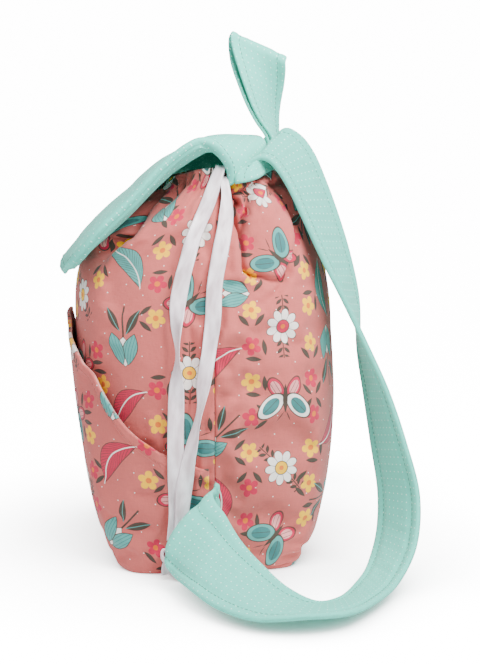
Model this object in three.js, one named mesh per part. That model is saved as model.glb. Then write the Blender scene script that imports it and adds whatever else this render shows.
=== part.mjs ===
import * as THREE from "three";

// A soft drawstring backpack standing on its base. Millimetres, +Z up, front towards -Y,
// origin at the centre of the base's underside.
const clothThickness = 2.5; // two layers of cotton with a thin lining
const seamGap = 0.3;
const bag = { width: 200, depth: 120, height: 286 };
const baseThickness = 3;
const gatherHeight = 5;
const pocket = { thickness: 2, hem: 1.2, standoff: 0.9, gape: 5.4 };
const flap = { thickness: 6, farDroop: 12 };
const strap = { width: 52, thickness: 4.5, stub: 8, clearance: 2, pitch: 14 };
const loop = { width: 45, height: 78, thickness: 2.4, space: 8, foldRadius: 3.4, clearance: 3.3, pitch: 4.6 };
const ribbon = { width: 11, thickness: 1.2, clearance: 1.7, pitch: 16 };
const knot = { across: 13, thick: 11, tall: 15 };

// Places round the bag in degrees from the front, and shares.
const pocketSide = { turn: 87.2, fade: 26 };
const pocketHem = { share: 0.16, approach: 1.5, reached: 1.16 };
const flapShape = { rootTurn: 97, cornerStart: 0.74, frontShare: 0.58, seat: 0.1, sideRise: 0.67 };
const strapRoot = { turn: 124.5, span: 45 };
const strapFoot = { turn: 90.5, up: 0.137 };
const knotAt = { turn: 66, up: 0.055 };

// How the bag's plan changes with height: shares of the width and the depth, with the plan's squareness.
const plans = table("up wide front back lean square", [
  [0.0, 1.0, 0.515, 0.5, 0.0, 9.0],
  [0.04, 1.025, 0.56, 0.565, 0.0, 7.0],
  [0.1, 1.055, 0.615, 0.63, 0.0, 5.4],
  [0.2, 1.09, 0.68, 0.695, 0.0, 4.2],
  [0.35, 1.12, 0.725, 0.735, 0.0, 3.4],
  [0.5, 1.12, 0.752, 0.745, 0.0, 3.1],
  [0.62, 1.09, 0.775, 0.73, 0.01, 2.9],
  [0.72, 1.03, 0.77, 0.7, 0.02, 2.7],
  [0.8, 0.96, 0.69, 0.65, 0.03, 2.6],
  [0.88, 0.88, 0.52, 0.55, 0.045, 2.5],
  [0.95, 0.8, 0.35, 0.4, 0.055, 2.4],
  [1.0, 0.76, 0.3, 0.31, 0.06, 2.3],
]);
const rimRise = {
  front: { middle: -0.06, side: -0.03 },
  back: { middle: 0.018, side: -0.055 },
};

// The gathers at the neck: where each starts at the rim, its drift over a third of the height and its
// spread, in degrees, its share of the gathers' height and how far down it runs.
const gathers = table("turn drift spread height low", [
  [-8, 0, 7, 0.68, 0.72],
  [14, -4, 7, -0.72, 0.7],
  [36, -12, 7, 0.72, 0.66],
  [52, -10, 6, -0.84, 0.7],
  [67, -24, 7, 0.92, 0.66],
  [84, -6, 6, -0.68, 0.74],
  [99, 9, 5.5, -1.08, 0.62],
  [114, 14, 7, 0.76, 0.66],
  [131, 10, 7, -0.72, 0.72],
  [150, 6, 8, 0.64, 0.74],
  [172, 0, 8, -0.6, 0.76],
  [196, -4, 8, 0.68, 0.74],
  [216, -8, 7, -0.68, 0.72],
  [236, -10, 7, 0.76, 0.68],
  [256, -6, 6, -0.88, 0.68],
  [279, 8, 7, 0.72, 0.72],
  [301, 12, 7, -0.76, 0.68],
  [325, 12, 8, 0.72, 0.7],
]);

const pocketEdge = table("turn up", [
  [0, 0.608],
  [10, 0.602],
  [22, 0.57],
  [40, 0.505],
  [55, 0.4],
  [70, 0.315],
  [92, 0.266],
]);

// Where the shoulder straps' first rows pass the back's seam, and how far outside it, in flap thicknesses.
const strapRootRows = table("up over", [
  [0.975, 0.52],
  [1.0, 0.72],
]);

// The flap's middle line and its side edge, from its seam at the back to its front end.
const flapRows = table("share middleDeep middleTall edgeWide edgeDeep edgeTall", [
  [0, 0.358, 1.028, 0.4, 0.075, 0.951],
  [0.07, 0.333, 1.045, 0.42, 0.058, 0.983],
  [0.15, 0.25, 1.049, 0.44, 0.025, 1.01],
  [0.26, 0.075, 1.045, 0.46, -0.05, 1.021],
  [0.38, -0.083, 1.021, 0.475, -0.142, 1.003],
  [0.5, -0.267, 0.979, 0.475, -0.292, 0.951],
  [0.64, -0.45, 0.909, 0.475, -0.458, 0.878],
  [0.78, -0.642, 0.839, 0.475, -0.633, 0.808],
  [0.9, -0.783, 0.773, 0.475, -0.758, 0.752],
  [1, -0.858, 0.727, 0.475, -0.817, 0.72],
]);

// The near shoulder strap: its middle, and the way from its inner edge to its outer one as a heading
// round from +X and a dip, in degrees.
const nearStrap = table("wide deep tall heading dip", [
  [0.26, 0.383, 1.028, -30, -25],
  [0.265, 0.45, 1.017, -35, -21],
  [0.275, 0.512, 0.986, -38, -14],
  [0.29, 0.579, 0.93, -39, -4],
  [0.315, 0.658, 0.846, -38, 2],
  [0.345, 0.742, 0.748, -32, 3],
  [0.38, 0.817, 0.65, -22, 6],
  [0.415, 0.883, 0.531, -4, 8],
  [0.45, 0.95, 0.427, 7, 9],
  [0.5, 1.008, 0.308, 15, 11],
  [0.56, 1.05, 0.192, 20, 9],
  [0.63, 1.017, 0.098, 18, 4],
  [0.725, 0.917, 0.038, 11, 3],
  [0.88, 0.767, 0.024, 3, 5],
  [1.01, 0.6, 0.024, -4, 9],
  [1.05, 0.425, 0.028, -17, 9],
  [1.025, 0.233, 0.038, -29, -4],
  [0.94, 0.083, 0.059, -40, -16],
  [0.815, -0.033, 0.084, -48, -27],
  [0.7, -0.108, 0.108, -76, -46],
  [0.66, -0.142, 0.126, -75, -50],
  [0.625, -0.125, 0.133, -77, -60],
  [0.598, -0.058, 0.129, -88, -76],
]);

// The far shoulder strap lies close beside the bag.
const farStrap = table("wide deep tall heading dip", [
  [-0.26, 0.383, 1.028, 210, -25],
  [-0.27, 0.45, 1.014, 215, -21],
  [-0.295, 0.512, 0.983, 218, -14],
  [-0.34, 0.567, 0.923, 219, -4],
  [-0.415, 0.617, 0.825, 218, 2],
  [-0.495, 0.658, 0.717, 214, 3],
  [-0.57, 0.692, 0.605, 208, 6],
  [-0.64, 0.725, 0.493, 200, 8],
  [-0.71, 0.75, 0.381, 192, 9],
  [-0.79, 0.758, 0.269, 186, 11],
  [-0.89, 0.742, 0.164, 182, 9],
  [-1.015, 0.675, 0.084, 180, 4],
  [-1.14, 0.542, 0.038, 182, 3],
  [-1.215, 0.367, 0.028, 188, 6],
  [-1.2, 0.167, 0.031, 200, 6],
  [-1.11, 0.017, 0.042, 212, -4],
  [-0.98, -0.075, 0.059, 222, -16],
  [-0.83, -0.108, 0.084, 230, -29],
  [-0.7, -0.108, 0.108, 254, -46],
  [-0.64, -0.1, 0.126, 262, -60],
]);

// The hanging loop, from its seam at the back: the middle between its two layers as shares of its
// height, its width's heading and dip, and a share of the space between the layers.
const loopRows = table("deep tall heading dip space", [
  [0, -0.064, -3, 0, 0.1],
  [0, 0.103, -13, 2, 0.12],
  [-0.045, 0.231, -24, 5, 0.16],
  [-0.085, 0.359, -33, 9, 0.28],
  [-0.115, 0.513, -44, 14, 0.5],
  [-0.137, 0.705, -68, 20, 0.9],
  [-0.143, 0.859, -88, 23, 1],
  [-0.143, 0.936, -90, 24, 0.95],
]);

// Where the two ribbon strands lie on the bag, from the neck down to their knot, and how many ribbon
// thicknesses each is raised there.
const ribbonFront = table("turn up over", [
  [87, 0.985, 0.4],
  [81.5, 0.9, 1.2],
  [78.4, 0.82, 0.6],
  [76.6, 0.74, 0],
  [74.6, 0.66, 0],
  [74, 0.6, 0],
  [74.6, 0.53, 0],
  [74, 0.46, 0.1],
  [73.2, 0.36, 0.5],
  [72.5, 0.26, 0.4],
  [71, 0.16, 0],
  [67.5, 0.088, 0],
]);
const ribbonBack = table("turn up over", [
  [94, 0.955, 2.6],
  [93.6, 0.88, 1.4],
  [91.2, 0.79, 0.75],
  [89, 0.7, 0],
  [88.6, 0.62, 0],
  [87.4, 0.545, 0],
  [85, 0.47, 1.2],
  [82.6, 0.395, 3.4],
  [79, 0.32, 3.83],
  [76, 0.235, 2.8],
  [73.6, 0.15, 2.5],
  [70.5, 0.088, 2.5],
]);

function table(names, rows) {
  const keys = names.split(" ");
  return rows.map((row) => Object.fromEntries(keys.map((key, i) => [key, row[i]])));
}

function clamp(x, low = 0, high = 1) {
  return Math.min(high, Math.max(low, x));
}

function smooth(from, to, x) {
  const t = clamp((x - from) / (to - from));
  return t * t * (3 - 2 * t);
}

// The value of one column at a place along another, by a smooth curve through the rows.
function read(rows, key, by, at) {
  const x = clamp(at, rows[0][by], rows[rows.length - 1][by]);
  let i = 0;
  while (i < rows.length - 2 && x > rows[i + 1][by]) i += 1;
  const slope = (k) => {
    const a = rows[Math.max(k - 1, 0)];
    const b = rows[Math.min(k + 1, rows.length - 1)];
    return (b[key] - a[key]) / (b[by] - a[by]);
  };
  const span = rows[i + 1][by] - rows[i][by];
  const t = (x - rows[i][by]) / span;
  return (
    (1 + 2 * t) * (1 - t) ** 2 * rows[i][key] +
    t * (1 - t) ** 2 * span * slope(i) +
    t * t * (3 - 2 * t) * rows[i + 1][key] +
    t * t * (t - 1) * span * slope(i + 1)
  );
}

function gathered(turn, up) {
  return gathers.reduce((sum, g) => {
    const from = (((turn - g.turn - g.drift * (1 - up) * 3 + 540) % 360) - 180) / g.spread;
    const held = 1 - 0.7 * smooth(0.93, 1, up);
    return sum + gatherHeight * g.height * Math.exp(-from * from) * smooth(g.low, 0.94, up) * held;
  }, 0);
}

// A point of the bag's cloth: turn in degrees from the front towards +X, up as a share of the height,
// out in millimetres along the level way out.
function onBag(turn, up, out = 0) {
  const angle = THREE.MathUtils.degToRad(turn);
  const [s, c] = [Math.sin(angle), Math.cos(angle)];
  const square = read(plans, "square", "up", up);
  const reach = (Math.abs(s) ** square + Math.abs(c) ** square) ** (-1 / square);
  const halfWidth = (read(plans, "wide", "up", up) * bag.width) / 2;
  const half = c > 0 ? "front" : "back";
  const halfDepth = read(plans, half, "up", up) * bag.depth;
  const { middle, side } = rimRise[half];
  const lift = (side + (middle - side) * c * c) * clamp((up - 0.6) / 0.4) ** 2;
  const x = halfWidth * reach * s;
  const y = halfDepth * reach * c;
  // The level normal of the plan's curve.
  const level = new THREE.Vector2(
    (Math.abs(x / halfWidth) ** (square - 1) * Math.sign(s)) / halfWidth,
    (-(Math.abs(y / halfDepth) ** (square - 1)) * Math.sign(c)) / halfDepth,
  ).normalize();
  const off = out + gathered(turn, up);
  return new THREE.Vector3(
    x + level.x * off,
    -y + read(plans, "lean", "up", up) * bag.depth + level.y * off,
    (up + lift) * bag.height,
  );
}

function range(count) {
  return Array.from({ length: count + 1 }, (_, i) => i / count);
}

// A closed solid between two grids of points of one shape.
function between(front, back) {
  const rows = front.length;
  const cols = front[0].length;
  const points = [...front.flat(), ...back.flat()];
  const at = (side, i, j) => side * rows * cols + i * cols + j;
  const faces = [];
  const quad = (a, b, c, d) => faces.push(a, b, c, a, c, d);
  for (let i = 0; i + 1 < rows; i += 1)
    for (let j = 0; j + 1 < cols; j += 1) {
      quad(at(0, i, j), at(0, i, j + 1), at(0, i + 1, j + 1), at(0, i + 1, j));
      quad(at(1, i, j), at(1, i + 1, j), at(1, i + 1, j + 1), at(1, i, j + 1));
    }
  for (let j = 0; j + 1 < cols; j += 1) {
    quad(at(0, 0, j + 1), at(0, 0, j), at(1, 0, j), at(1, 0, j + 1));
    quad(at(0, rows - 1, j), at(0, rows - 1, j + 1), at(1, rows - 1, j + 1), at(1, rows - 1, j));
  }
  for (let i = 0; i + 1 < rows; i += 1) {
    quad(at(0, i, 0), at(0, i + 1, 0), at(1, i + 1, 0), at(1, i, 0));
    quad(at(0, i + 1, cols - 1), at(0, i, cols - 1), at(1, i, cols - 1), at(1, i + 1, cols - 1));
  }
  return solid(points, faces);
}

function solid(points, faces) {
  let volume = 0;
  for (let i = 0; i < faces.length; i += 3) {
    const [a, b, c] = [points[faces[i]], points[faces[i + 1]], points[faces[i + 2]]];
    volume += a.dot(b.clone().cross(c));
  }
  const geometry = new THREE.BufferGeometry().setFromPoints(points);
  geometry.setIndex(volume < 0 ? [...faces].reverse() : faces);
  geometry.computeVertexNormals();
  return geometry;
}

function normals(grid) {
  const last = [grid.length - 1, grid[0].length - 1];
  return grid.map((row, i) =>
    row.map((_, j) => {
      const along = grid[Math.min(i + 1, last[0])][j].clone().sub(grid[Math.max(i - 1, 0)][j]);
      const across = grid[i][Math.min(j + 1, last[1])].clone().sub(grid[i][Math.max(j - 1, 0)]);
      return along.cross(across).normalize();
    }),
  );
}

// A sheet of even thickness about a grid of middle points.
function sheet(grid, thickness) {
  const out = normals(grid);
  const side = (way) =>
    grid.map((row, i) => row.map((p, j) => p.clone().addScaledVector(out[i][j], (way * thickness) / 2)));
  return between(side(1), side(-1));
}

// Rows of points drawn as one smooth surface, with new rows at an even pitch.
function resampled(rows, pitch) {
  const middle = (rows[0].length - 1) / 2;
  const curves = rows[0].map(
    (_, j) => new THREE.CatmullRomCurve3(rows.map((row) => row[j]), false, "centripetal"),
  );
  const guide = curves[middle];
  const length = guide.getLength();
  return range(Math.round(length / pitch)).map((share) => {
    const t = guide.getUtoTmapping(share);
    return curves.map((curve) => curve.getPoint(t));
  });
}

const cloth = {
  print: new THREE.MeshStandardMaterial({ color: 0xd98078, roughness: 0.95 }),
  mint: new THREE.MeshStandardMaterial({ color: 0x9fd3c5, roughness: 0.95 }),
  satin: new THREE.MeshStandardMaterial({ color: 0xf1efec, roughness: 0.5 }),
};
const backpack = new THREE.Group();
backpack.name = "backpack";

function add(name, geometry, material) {
  const mesh = new THREE.Mesh(geometry, material.clone());
  mesh.name = name;
  backpack.add(mesh);
}

// The body's two walls, each from side seam to side seam.
const wallTurns = range(34);
const wallRises = [
  0, 0.03, 0.08, 0.15, 0.23, 0.32, 0.41, 0.5, 0.58, 0.65, 0.71, 0.76, 0.81, 0.86, 0.91, 0.96, 1,
];
const neckHalfWidth = (plans[plans.length - 1].wide * bag.width) / 2;
const seamTurn = THREE.MathUtils.radToDeg(seamGap / 2 / neckHalfWidth);
function wallTurn(fromTurn, t) {
  return fromTurn + seamTurn + (180 - 2 * seamTurn) * t;
}
function wall(fromTurn) {
  const layer = (out) => wallRises.map((up) => wallTurns.map((t) => onBag(wallTurn(fromTurn, t), up, out)));
  return between(layer(0), layer(-clothThickness));
}
add("body_front", wall(-90), cloth.print);
add("body_back", wall(90), cloth.print);

// The stiffened base inside the walls.
const baseShape = new THREE.Shape(
  [-90, 90]
    .flatMap((from) => [from, ...wallTurns.slice(1, -1).map((t) => wallTurn(from, t))])
    .map((turn) => onBag(turn, 0, -clothThickness - seamGap))
    .map((p) => new THREE.Vector2(p.x, p.y)),
);
add(
  "base_panel",
  new THREE.ExtrudeGeometry(baseShape, { depth: baseThickness, bevelEnabled: false }),
  cloth.print,
);

// The pocket over the front, gaping along its hem.
const pocketRises = [0, 0.05, 0.14, 0.26, 0.4, 0.54, 0.67, 0.78, 0.87, 0.94, 1];
const pocketTurns = [
  -pocketSide.turn,
  ...wallTurns.map((t) => 180 * t - 90).filter((turn) => Math.abs(turn) < pocketSide.turn - 1),
  pocketSide.turn,
];
function pocketTop(turn) {
  return read(pocketEdge, "up", "turn", Math.abs(turn));
}
function pocketSpace(turn, share) {
  const fromSeam = smooth(0, pocketSide.fade, pocketSide.turn - Math.abs(turn));
  return pocket.standoff + pocket.gape * smooth(0.3, 1, share) * fromSeam;
}
function pocketCloth(share) {
  return pocket.thickness + pocket.hem * smooth(1 - pocketHem.share, 1 - pocketHem.share / 2, share);
}
function pocketLayer(outer) {
  return pocketRises.map((share) =>
    pocketTurns.map((turn) =>
      onBag(turn, pocketTop(turn) * share, pocketSpace(turn, share) + (outer ? pocketCloth(share) : 0)),
    ),
  );
}
add("front_pocket", between(pocketLayer(true), pocketLayer(false)), cloth.print);

// The flap, sewn along the back's upper edge and bent forward over the mouth.
const flapShares = [
  0, 0.03, 0.06, 0.1, 0.15, 0.2, 0.26, 0.33, 0.41, 0.5, 0.58, 0.66, 0.74, 0.8, 0.86, 0.92, 0.965, 1,
];
function flapPoint(share, t) {
  const side = Math.abs(t);
  const cut = clamp((share - flapShape.cornerStart) / (1 - flapShape.cornerStart));
  const narrow = 1 - (1 - flapShape.frontShare) * (1 - Math.sqrt(1 - cut * cut));
  const row = (key) => read(flapRows, key, "share", share);
  const droop = t < 0 ? flap.farDroop * (1 - smooth(0.4, 0.8, share)) : 0;
  const deep = row("middleDeep") + (row("edgeDeep") - row("middleDeep")) * side ** 2.4;
  const tall = row("middleTall") + (row("edgeTall") - row("middleTall")) * side ** 2.2;
  const free = new THREE.Vector3(
    row("edgeWide") * bag.width * t * narrow,
    deep * bag.depth,
    tall * bag.height - droop * side ** 2.2,
  );
  const turn = 180 - (180 - flapShape.rootTurn) * t;
  const root = onBag(turn, 1, -clothThickness / 2);
  const sideRise = flapShape.sideRise * smooth(0, 0.12, share) * side;
  const middleRise = (row("middleTall") - flapRows[0].middleTall) * bag.height;
  root.z += flap.thickness * (flapShape.seat + sideRise) + middleRise;
  return root.lerp(free, smooth(0.02, 0.3, share));
}
const flapGrid = flapShares.map((share) => range(18).map((t) => flapPoint(share, 2 * t - 1)));
add("flap", sheet(flapGrid, flap.thickness), cloth.mint);

// A level or dipping direction, from its heading round from +X and its dip in degrees.
function direction(heading, dip) {
  const level = THREE.MathUtils.degToRad(heading);
  const tilt = THREE.MathUtils.degToRad(dip);
  return new THREE.Vector3(
    Math.cos(tilt) * Math.cos(level),
    Math.cos(tilt) * Math.sin(level),
    Math.sin(tilt),
  );
}

// The shoulder straps, each from the back's upper seam down to the lower part of its side seam.
const acrossBand = range(4).map((t) => t - 0.5);
function strapGrid(rows, side) {
  const root = strapRootRows.map((row) =>
    acrossBand.map((t) => {
      const turn = 180 - side * (180 - strapRoot.turn + t * strapRoot.span);
      return onBag(turn, row.up, strap.thickness / 2 + seamGap + row.over * flap.thickness);
    }),
  );
  const free = rows.map((row) => {
    const middle = new THREE.Vector3(row.wide * bag.width, row.deep * bag.depth, row.tall * bag.height);
    const across = direction(row.heading, row.dip);
    return acrossBand.map((t) => middle.clone().addScaledVector(across, t * strap.width));
  });
  const sewn = [strap.stub, strap.clearance].map((out) =>
    acrossBand.map((t) => onBag(side * strapFoot.turn, strapFoot.up - (t * strap.width) / bag.height, out)),
  );
  return resampled([...root, ...free, ...sewn], strap.pitch);
}
add("strap_right", sheet(strapGrid(nearStrap, 1), strap.thickness), cloth.mint);
add("strap_left", sheet(strapGrid(farStrap, -1), strap.thickness), cloth.mint);

// The hanging loop: one band up, over its fold and down again.
function loopGrid() {
  const seam = onBag(180, 1, (flap.thickness - clothThickness) / 2 + loop.thickness + loop.clearance);
  const layerRow = (row, way, lift = 0) => {
    const across = direction(row.heading, row.dip);
    const rise = new THREE.Vector3(0, 0, 1).addScaledVector(across, -across.z).normalize();
    const out = rise.clone().cross(across);
    const middle = seam.clone().add(new THREE.Vector3(0, row.deep, row.tall).multiplyScalar(loop.height));
    middle.addScaledVector(out, (way * (row.space * loop.space + loop.thickness)) / 2);
    middle.addScaledVector(rise, lift);
    return acrossBand.map((t) => middle.clone().addScaledVector(across, t * loop.width));
  };
  const top = loopRows[loopRows.length - 1];
  const up = loopRows.map((row) => layerRow(row, 1));
  const down = loopRows.map((row) => layerRow(row, -1)).reverse();
  const fold = [0.7, 0, -0.7].map((way) => layerRow(top, way, loop.foldRadius * Math.sqrt(1 - way * way)));
  return resampled([...up, ...fold, ...down], loop.pitch);
}
add("handle_loop", sheet(loopGrid(), loop.thickness), cloth.mint);

// The two ends of the drawstring ribbon, hanging over the side down to their knot.
function overPocket(turn, up) {
  const share = up / pocketTop(turn);
  const raised = smooth(pocketHem.approach, pocketHem.reached, share);
  return (pocketSpace(turn, share) + pocketCloth(share)) * raised;
}
function ribbonGrid(rows) {
  const middles = rows.map((row) =>
    onBag(row.turn, row.up, ribbon.clearance + row.over * ribbon.thickness + overPocket(row.turn, row.up)),
  );
  const around = rows.map((row) => {
    const [ahead, behind] = [2, -2].map((by) => onBag(row.turn + by, row.up));
    return ahead.sub(behind).setZ(0).normalize();
  });
  const lines = middles.map((p, i) =>
    [-0.5, 0, 0.5].map((t) => p.clone().addScaledVector(around[i], t * ribbon.width)),
  );
  return resampled(lines, ribbon.pitch);
}
add("ribbon_front", sheet(ribbonGrid(ribbonFront), ribbon.thickness), cloth.satin);
add("ribbon_back", sheet(ribbonGrid(ribbonBack), ribbon.thickness), cloth.satin);

const knotMiddle = onBag(
  knotAt.turn,
  knotAt.up,
  pocket.standoff + pocket.thickness + knot.thick / 2 + seamGap * 2,
);
const knotShape = new THREE.SphereGeometry(0.5, 14, 9).rotateX(Math.PI / 2);
knotShape.scale(knot.thick, knot.across, knot.tall).translate(...knotMiddle.toArray());
add("ribbon_knot", knotShape, cloth.satin);

export default backpack;
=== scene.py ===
import bpy
import numpy as np
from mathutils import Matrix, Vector


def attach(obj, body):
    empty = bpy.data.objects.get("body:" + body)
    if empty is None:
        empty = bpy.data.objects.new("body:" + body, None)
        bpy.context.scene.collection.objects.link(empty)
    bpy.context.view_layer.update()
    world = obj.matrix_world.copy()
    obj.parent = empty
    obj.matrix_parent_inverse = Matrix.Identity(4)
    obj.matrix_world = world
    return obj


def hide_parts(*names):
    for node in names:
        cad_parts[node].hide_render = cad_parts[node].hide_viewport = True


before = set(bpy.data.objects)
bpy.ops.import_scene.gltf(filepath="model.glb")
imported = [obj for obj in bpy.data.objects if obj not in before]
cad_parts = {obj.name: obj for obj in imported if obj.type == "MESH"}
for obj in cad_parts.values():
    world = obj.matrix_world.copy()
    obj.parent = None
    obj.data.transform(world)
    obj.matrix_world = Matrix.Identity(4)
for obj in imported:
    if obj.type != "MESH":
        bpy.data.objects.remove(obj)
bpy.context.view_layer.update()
mm = 0.001

# The camera stands at the bag's right side, a little towards the front, as the photo's did.
view = {"place": (0.9652, -0.0651, 0.270), "target": (0.0, 0.02765, 0.15426), "lens": 70, "sensor": 36}
bpy.ops.object.camera_add(location=view["place"])
cameraObject = bpy.context.object
aim = Vector(view["target"]) - Vector(view["place"])
cameraObject.rotation_euler = aim.to_track_quat("-Z", "Y").to_euler()
cameraObject.data.lens = view["lens"]
cameraObject.data.sensor_fit = "VERTICAL"
cameraObject.data.sensor_height = view["sensor"]
bpy.context.scene.camera = cameraObject
print("camera placed")


# Curves and noise that every piece uses


def curveThrough(places, values, at):
    places, values = np.asarray(places, float), np.asarray(values, float)
    at = np.clip(at, places[0], places[-1])
    count = len(places)
    i = np.clip(np.searchsorted(places, at, side="left") - 1, 0, count - 2)
    before, after = np.maximum(np.arange(count) - 1, 0), np.minimum(np.arange(count) + 1, count - 1)
    slopes = (values[after] - values[before]) / (places[after] - places[before])
    span = places[i + 1] - places[i]
    t = (at - places[i]) / span
    return (
        (1 + 2 * t) * (1 - t) ** 2 * values[i]
        + t * (1 - t) ** 2 * span * slopes[i]
        + t * t * (3 - 2 * t) * values[i + 1]
        + t * t * (t - 1) * span * slopes[i + 1]
    )


def smooth(start, end, x):
    t = np.clip((x - start) / (end - start), 0, 1)
    return t * t * (3 - 2 * t)


def bump(x, wide):
    return np.exp(-((x / wide) ** 2))


def wrapped(turn):  # the same turn, between -180 and 180 degrees
    return (turn + 540) % 360 - 180


def unit(vectors):
    return vectors / np.linalg.norm(vectors, axis=-1, keepdims=True)


def lengthAlong(points, axis=0):  # how far each point lies along its line of points
    steps = np.linalg.norm(np.diff(points, axis=axis), axis=-1)
    start = np.zeros_like(np.take(steps, [0], axis))
    return np.concatenate([start, np.cumsum(steps, axis)], axis)


def sampled(field, row, column, wrap=False):  # a grid of values read smoothly between its points
    rows, columns = field.shape[:2]
    i, j = np.floor(row).astype(int), np.floor(column).astype(int)
    total = 0
    for di in range(-1, 3):
        for dj in range(-1, 3):
            weight = spline(row - i - di) * spline(column - j - dj)
            if wrap:
                value = field[(i + di) % rows, (j + dj) % columns]
            else:
                value = field[np.clip(i + di, 0, rows - 1), np.clip(j + dj, 0, columns - 1)]
            total = total + (value * weight[..., None] if field.ndim == 3 else value * weight)
    return total


def spline(x):
    x = np.abs(x)
    near = 1.5 * x**3 - 2.5 * x**2 + 1
    far = -0.5 * x**3 + 2.5 * x**2 - 4 * x + 2
    return np.where(x < 1, near, np.where(x < 2, far, 0))


def softNoise(seed, x, y):  # about -1 to 1, one swell to a unit
    field = np.random.RandomState(seed).uniform(-1, 1, (48, 48))
    return sampled(field, np.asarray(y, float), np.asarray(x, float), wrap=True)


def edgeSpaced(length, pitch, marks=(0, 0.12, 0.45, 1.0, 1.8, 3.0)):  # even steps, closer at both ends
    inner = np.linspace(marks[-1], length - marks[-1], max(2, int(round(length / pitch))))
    return np.concatenate([marks[:-1], inner, [length - m for m in marks[-2::-1]]])


# The bag's form, in shares of its sizes, in millimetres until it is placed

bag = {"width": 200, "depth": 120, "height": 286, "cloth": 2.5, "gathers": 5}
planShares = {
    "up": [0, 0.04, 0.1, 0.2, 0.35, 0.5, 0.62, 0.72, 0.8, 0.88, 0.95, 1],
    "wide": [1, 1.025, 1.055, 1.09, 1.12, 1.12, 1.09, 1.03, 0.96, 0.88, 0.8, 0.76],
    "front": [0.515, 0.56, 0.615, 0.68, 0.725, 0.752, 0.775, 0.77, 0.69, 0.52, 0.35, 0.3],
    "back": [0.5, 0.565, 0.63, 0.695, 0.735, 0.745, 0.73, 0.7, 0.65, 0.55, 0.4, 0.31],
    "lean": [0, 0, 0, 0, 0, 0, 0.01, 0.02, 0.03, 0.045, 0.055, 0.06],
    "square": [9, 7, 5.4, 4.2, 3.4, 3.1, 2.9, 2.7, 2.6, 2.5, 2.4, 2.3],
}
rimRise = {"front": (-0.06, -0.03), "back": (0.018, -0.055)}  # at the middle, at the sides
gatherRows = [  # turn at the rim, drift, spread, height, low end
    (-8, 0, 7, 0.68, 0.72), (14, -4, 7, -0.72, 0.7), (36, -12, 7, 0.72, 0.66), (52, -10, 6, -0.84, 0.7),
    (67, -24, 7, 0.92, 0.66), (84, -6, 6, -0.68, 0.74), (99, 9, 5.5, -1.08, 0.62), (114, 14, 7, 0.76, 0.66),
    (131, 10, 7, -0.72, 0.72), (150, 6, 8, 0.64, 0.74), (172, 0, 8, -0.6, 0.76), (196, -4, 8, 0.68, 0.74),
    (216, -8, 7, -0.68, 0.72), (236, -10, 7, 0.76, 0.68), (256, -6, 6, -0.88, 0.68), (279, 8, 7, 0.72, 0.72),
    (301, 12, 7, -0.76, 0.68), (325, 12, 8, 0.72, 0.7),
]


def plan(key, up):
    return curveThrough(planShares["up"], planShares[key], up)


def gathered(turn, up):
    total = 0
    held = 1 - 0.7 * smooth(0.93, 1, up)
    for start, drift, spread, height, low in gatherRows:
        away = wrapped(turn - start - drift * (1 - up) * 3)
        total = total + bag["gathers"] * height * bump(away, spread) * smooth(low, 0.94, up) * held
    return total


def onBag(turn, up, out=0.0):  # turn in degrees from the front towards +X, up a share, out in millimetres
    turn, up, out = np.broadcast_arrays(*(np.asarray(given, float) for given in (turn, up, out)))
    angle = np.radians(turn)
    s, c = np.sin(angle), np.cos(angle)
    square = plan("square", up)
    reach = (np.abs(s) ** square + np.abs(c) ** square) ** (-1 / square)
    halfWidth = plan("wide", up) * bag["width"] / 2
    halfDepth = np.where(c > 0, plan("front", up), plan("back", up)) * bag["depth"]
    middle = np.where(c > 0, rimRise["front"][0], rimRise["back"][0])
    side = np.where(c > 0, rimRise["front"][1], rimRise["back"][1])
    lift = (side + (middle - side) * c * c) * np.clip((up - 0.6) / 0.4, 0, 1) ** 2
    x, y = halfWidth * reach * s, halfDepth * reach * c
    levelX = (np.abs(x / halfWidth) ** (square - 1)) * np.sign(s) / halfWidth
    levelY = -(np.abs(y / halfDepth) ** (square - 1)) * np.sign(c) / halfDepth
    size = np.hypot(levelX, levelY)
    off = out + gathered(turn, up)
    place = [x + levelX / size * off, -y + plan("lean", up) * bag["depth"] + levelY / size * off]
    return np.stack(place + [(up + lift) * bag["height"]], -1) * mm


# Where the drawstring's two hanging ends lie on the bag, and how the cloth gives way under them
ribbonFront = [  # turn, up, over
    (87, 0.985, 0.4), (81.5, 0.9, 1.2), (78.4, 0.82, 0.6), (76.6, 0.74, 0), (74.6, 0.66, 0), (74, 0.6, 0),
    (74.6, 0.53, 0), (74, 0.46, 0.1), (73.2, 0.36, 0.5), (72.5, 0.26, 0.4), (71, 0.16, 0), (67.5, 0.088, 0),
]
ribbonBack = [
    (94, 0.955, 2.6), (93.6, 0.88, 1.4), (91.2, 0.79, 0.75), (89, 0.7, 0), (88.6, 0.62, 0), (87.4, 0.545, 0),
    (85, 0.47, 1.2), (82.6, 0.395, 3.4), (79, 0.32, 3.83), (76, 0.235, 2.8), (73.6, 0.15, 2.5),
    (70.5, 0.088, 2.5),
]
ribbonPress = {"start": 6.5, "end": 10, "degree": 1.8, "deep": 0.5}

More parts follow.
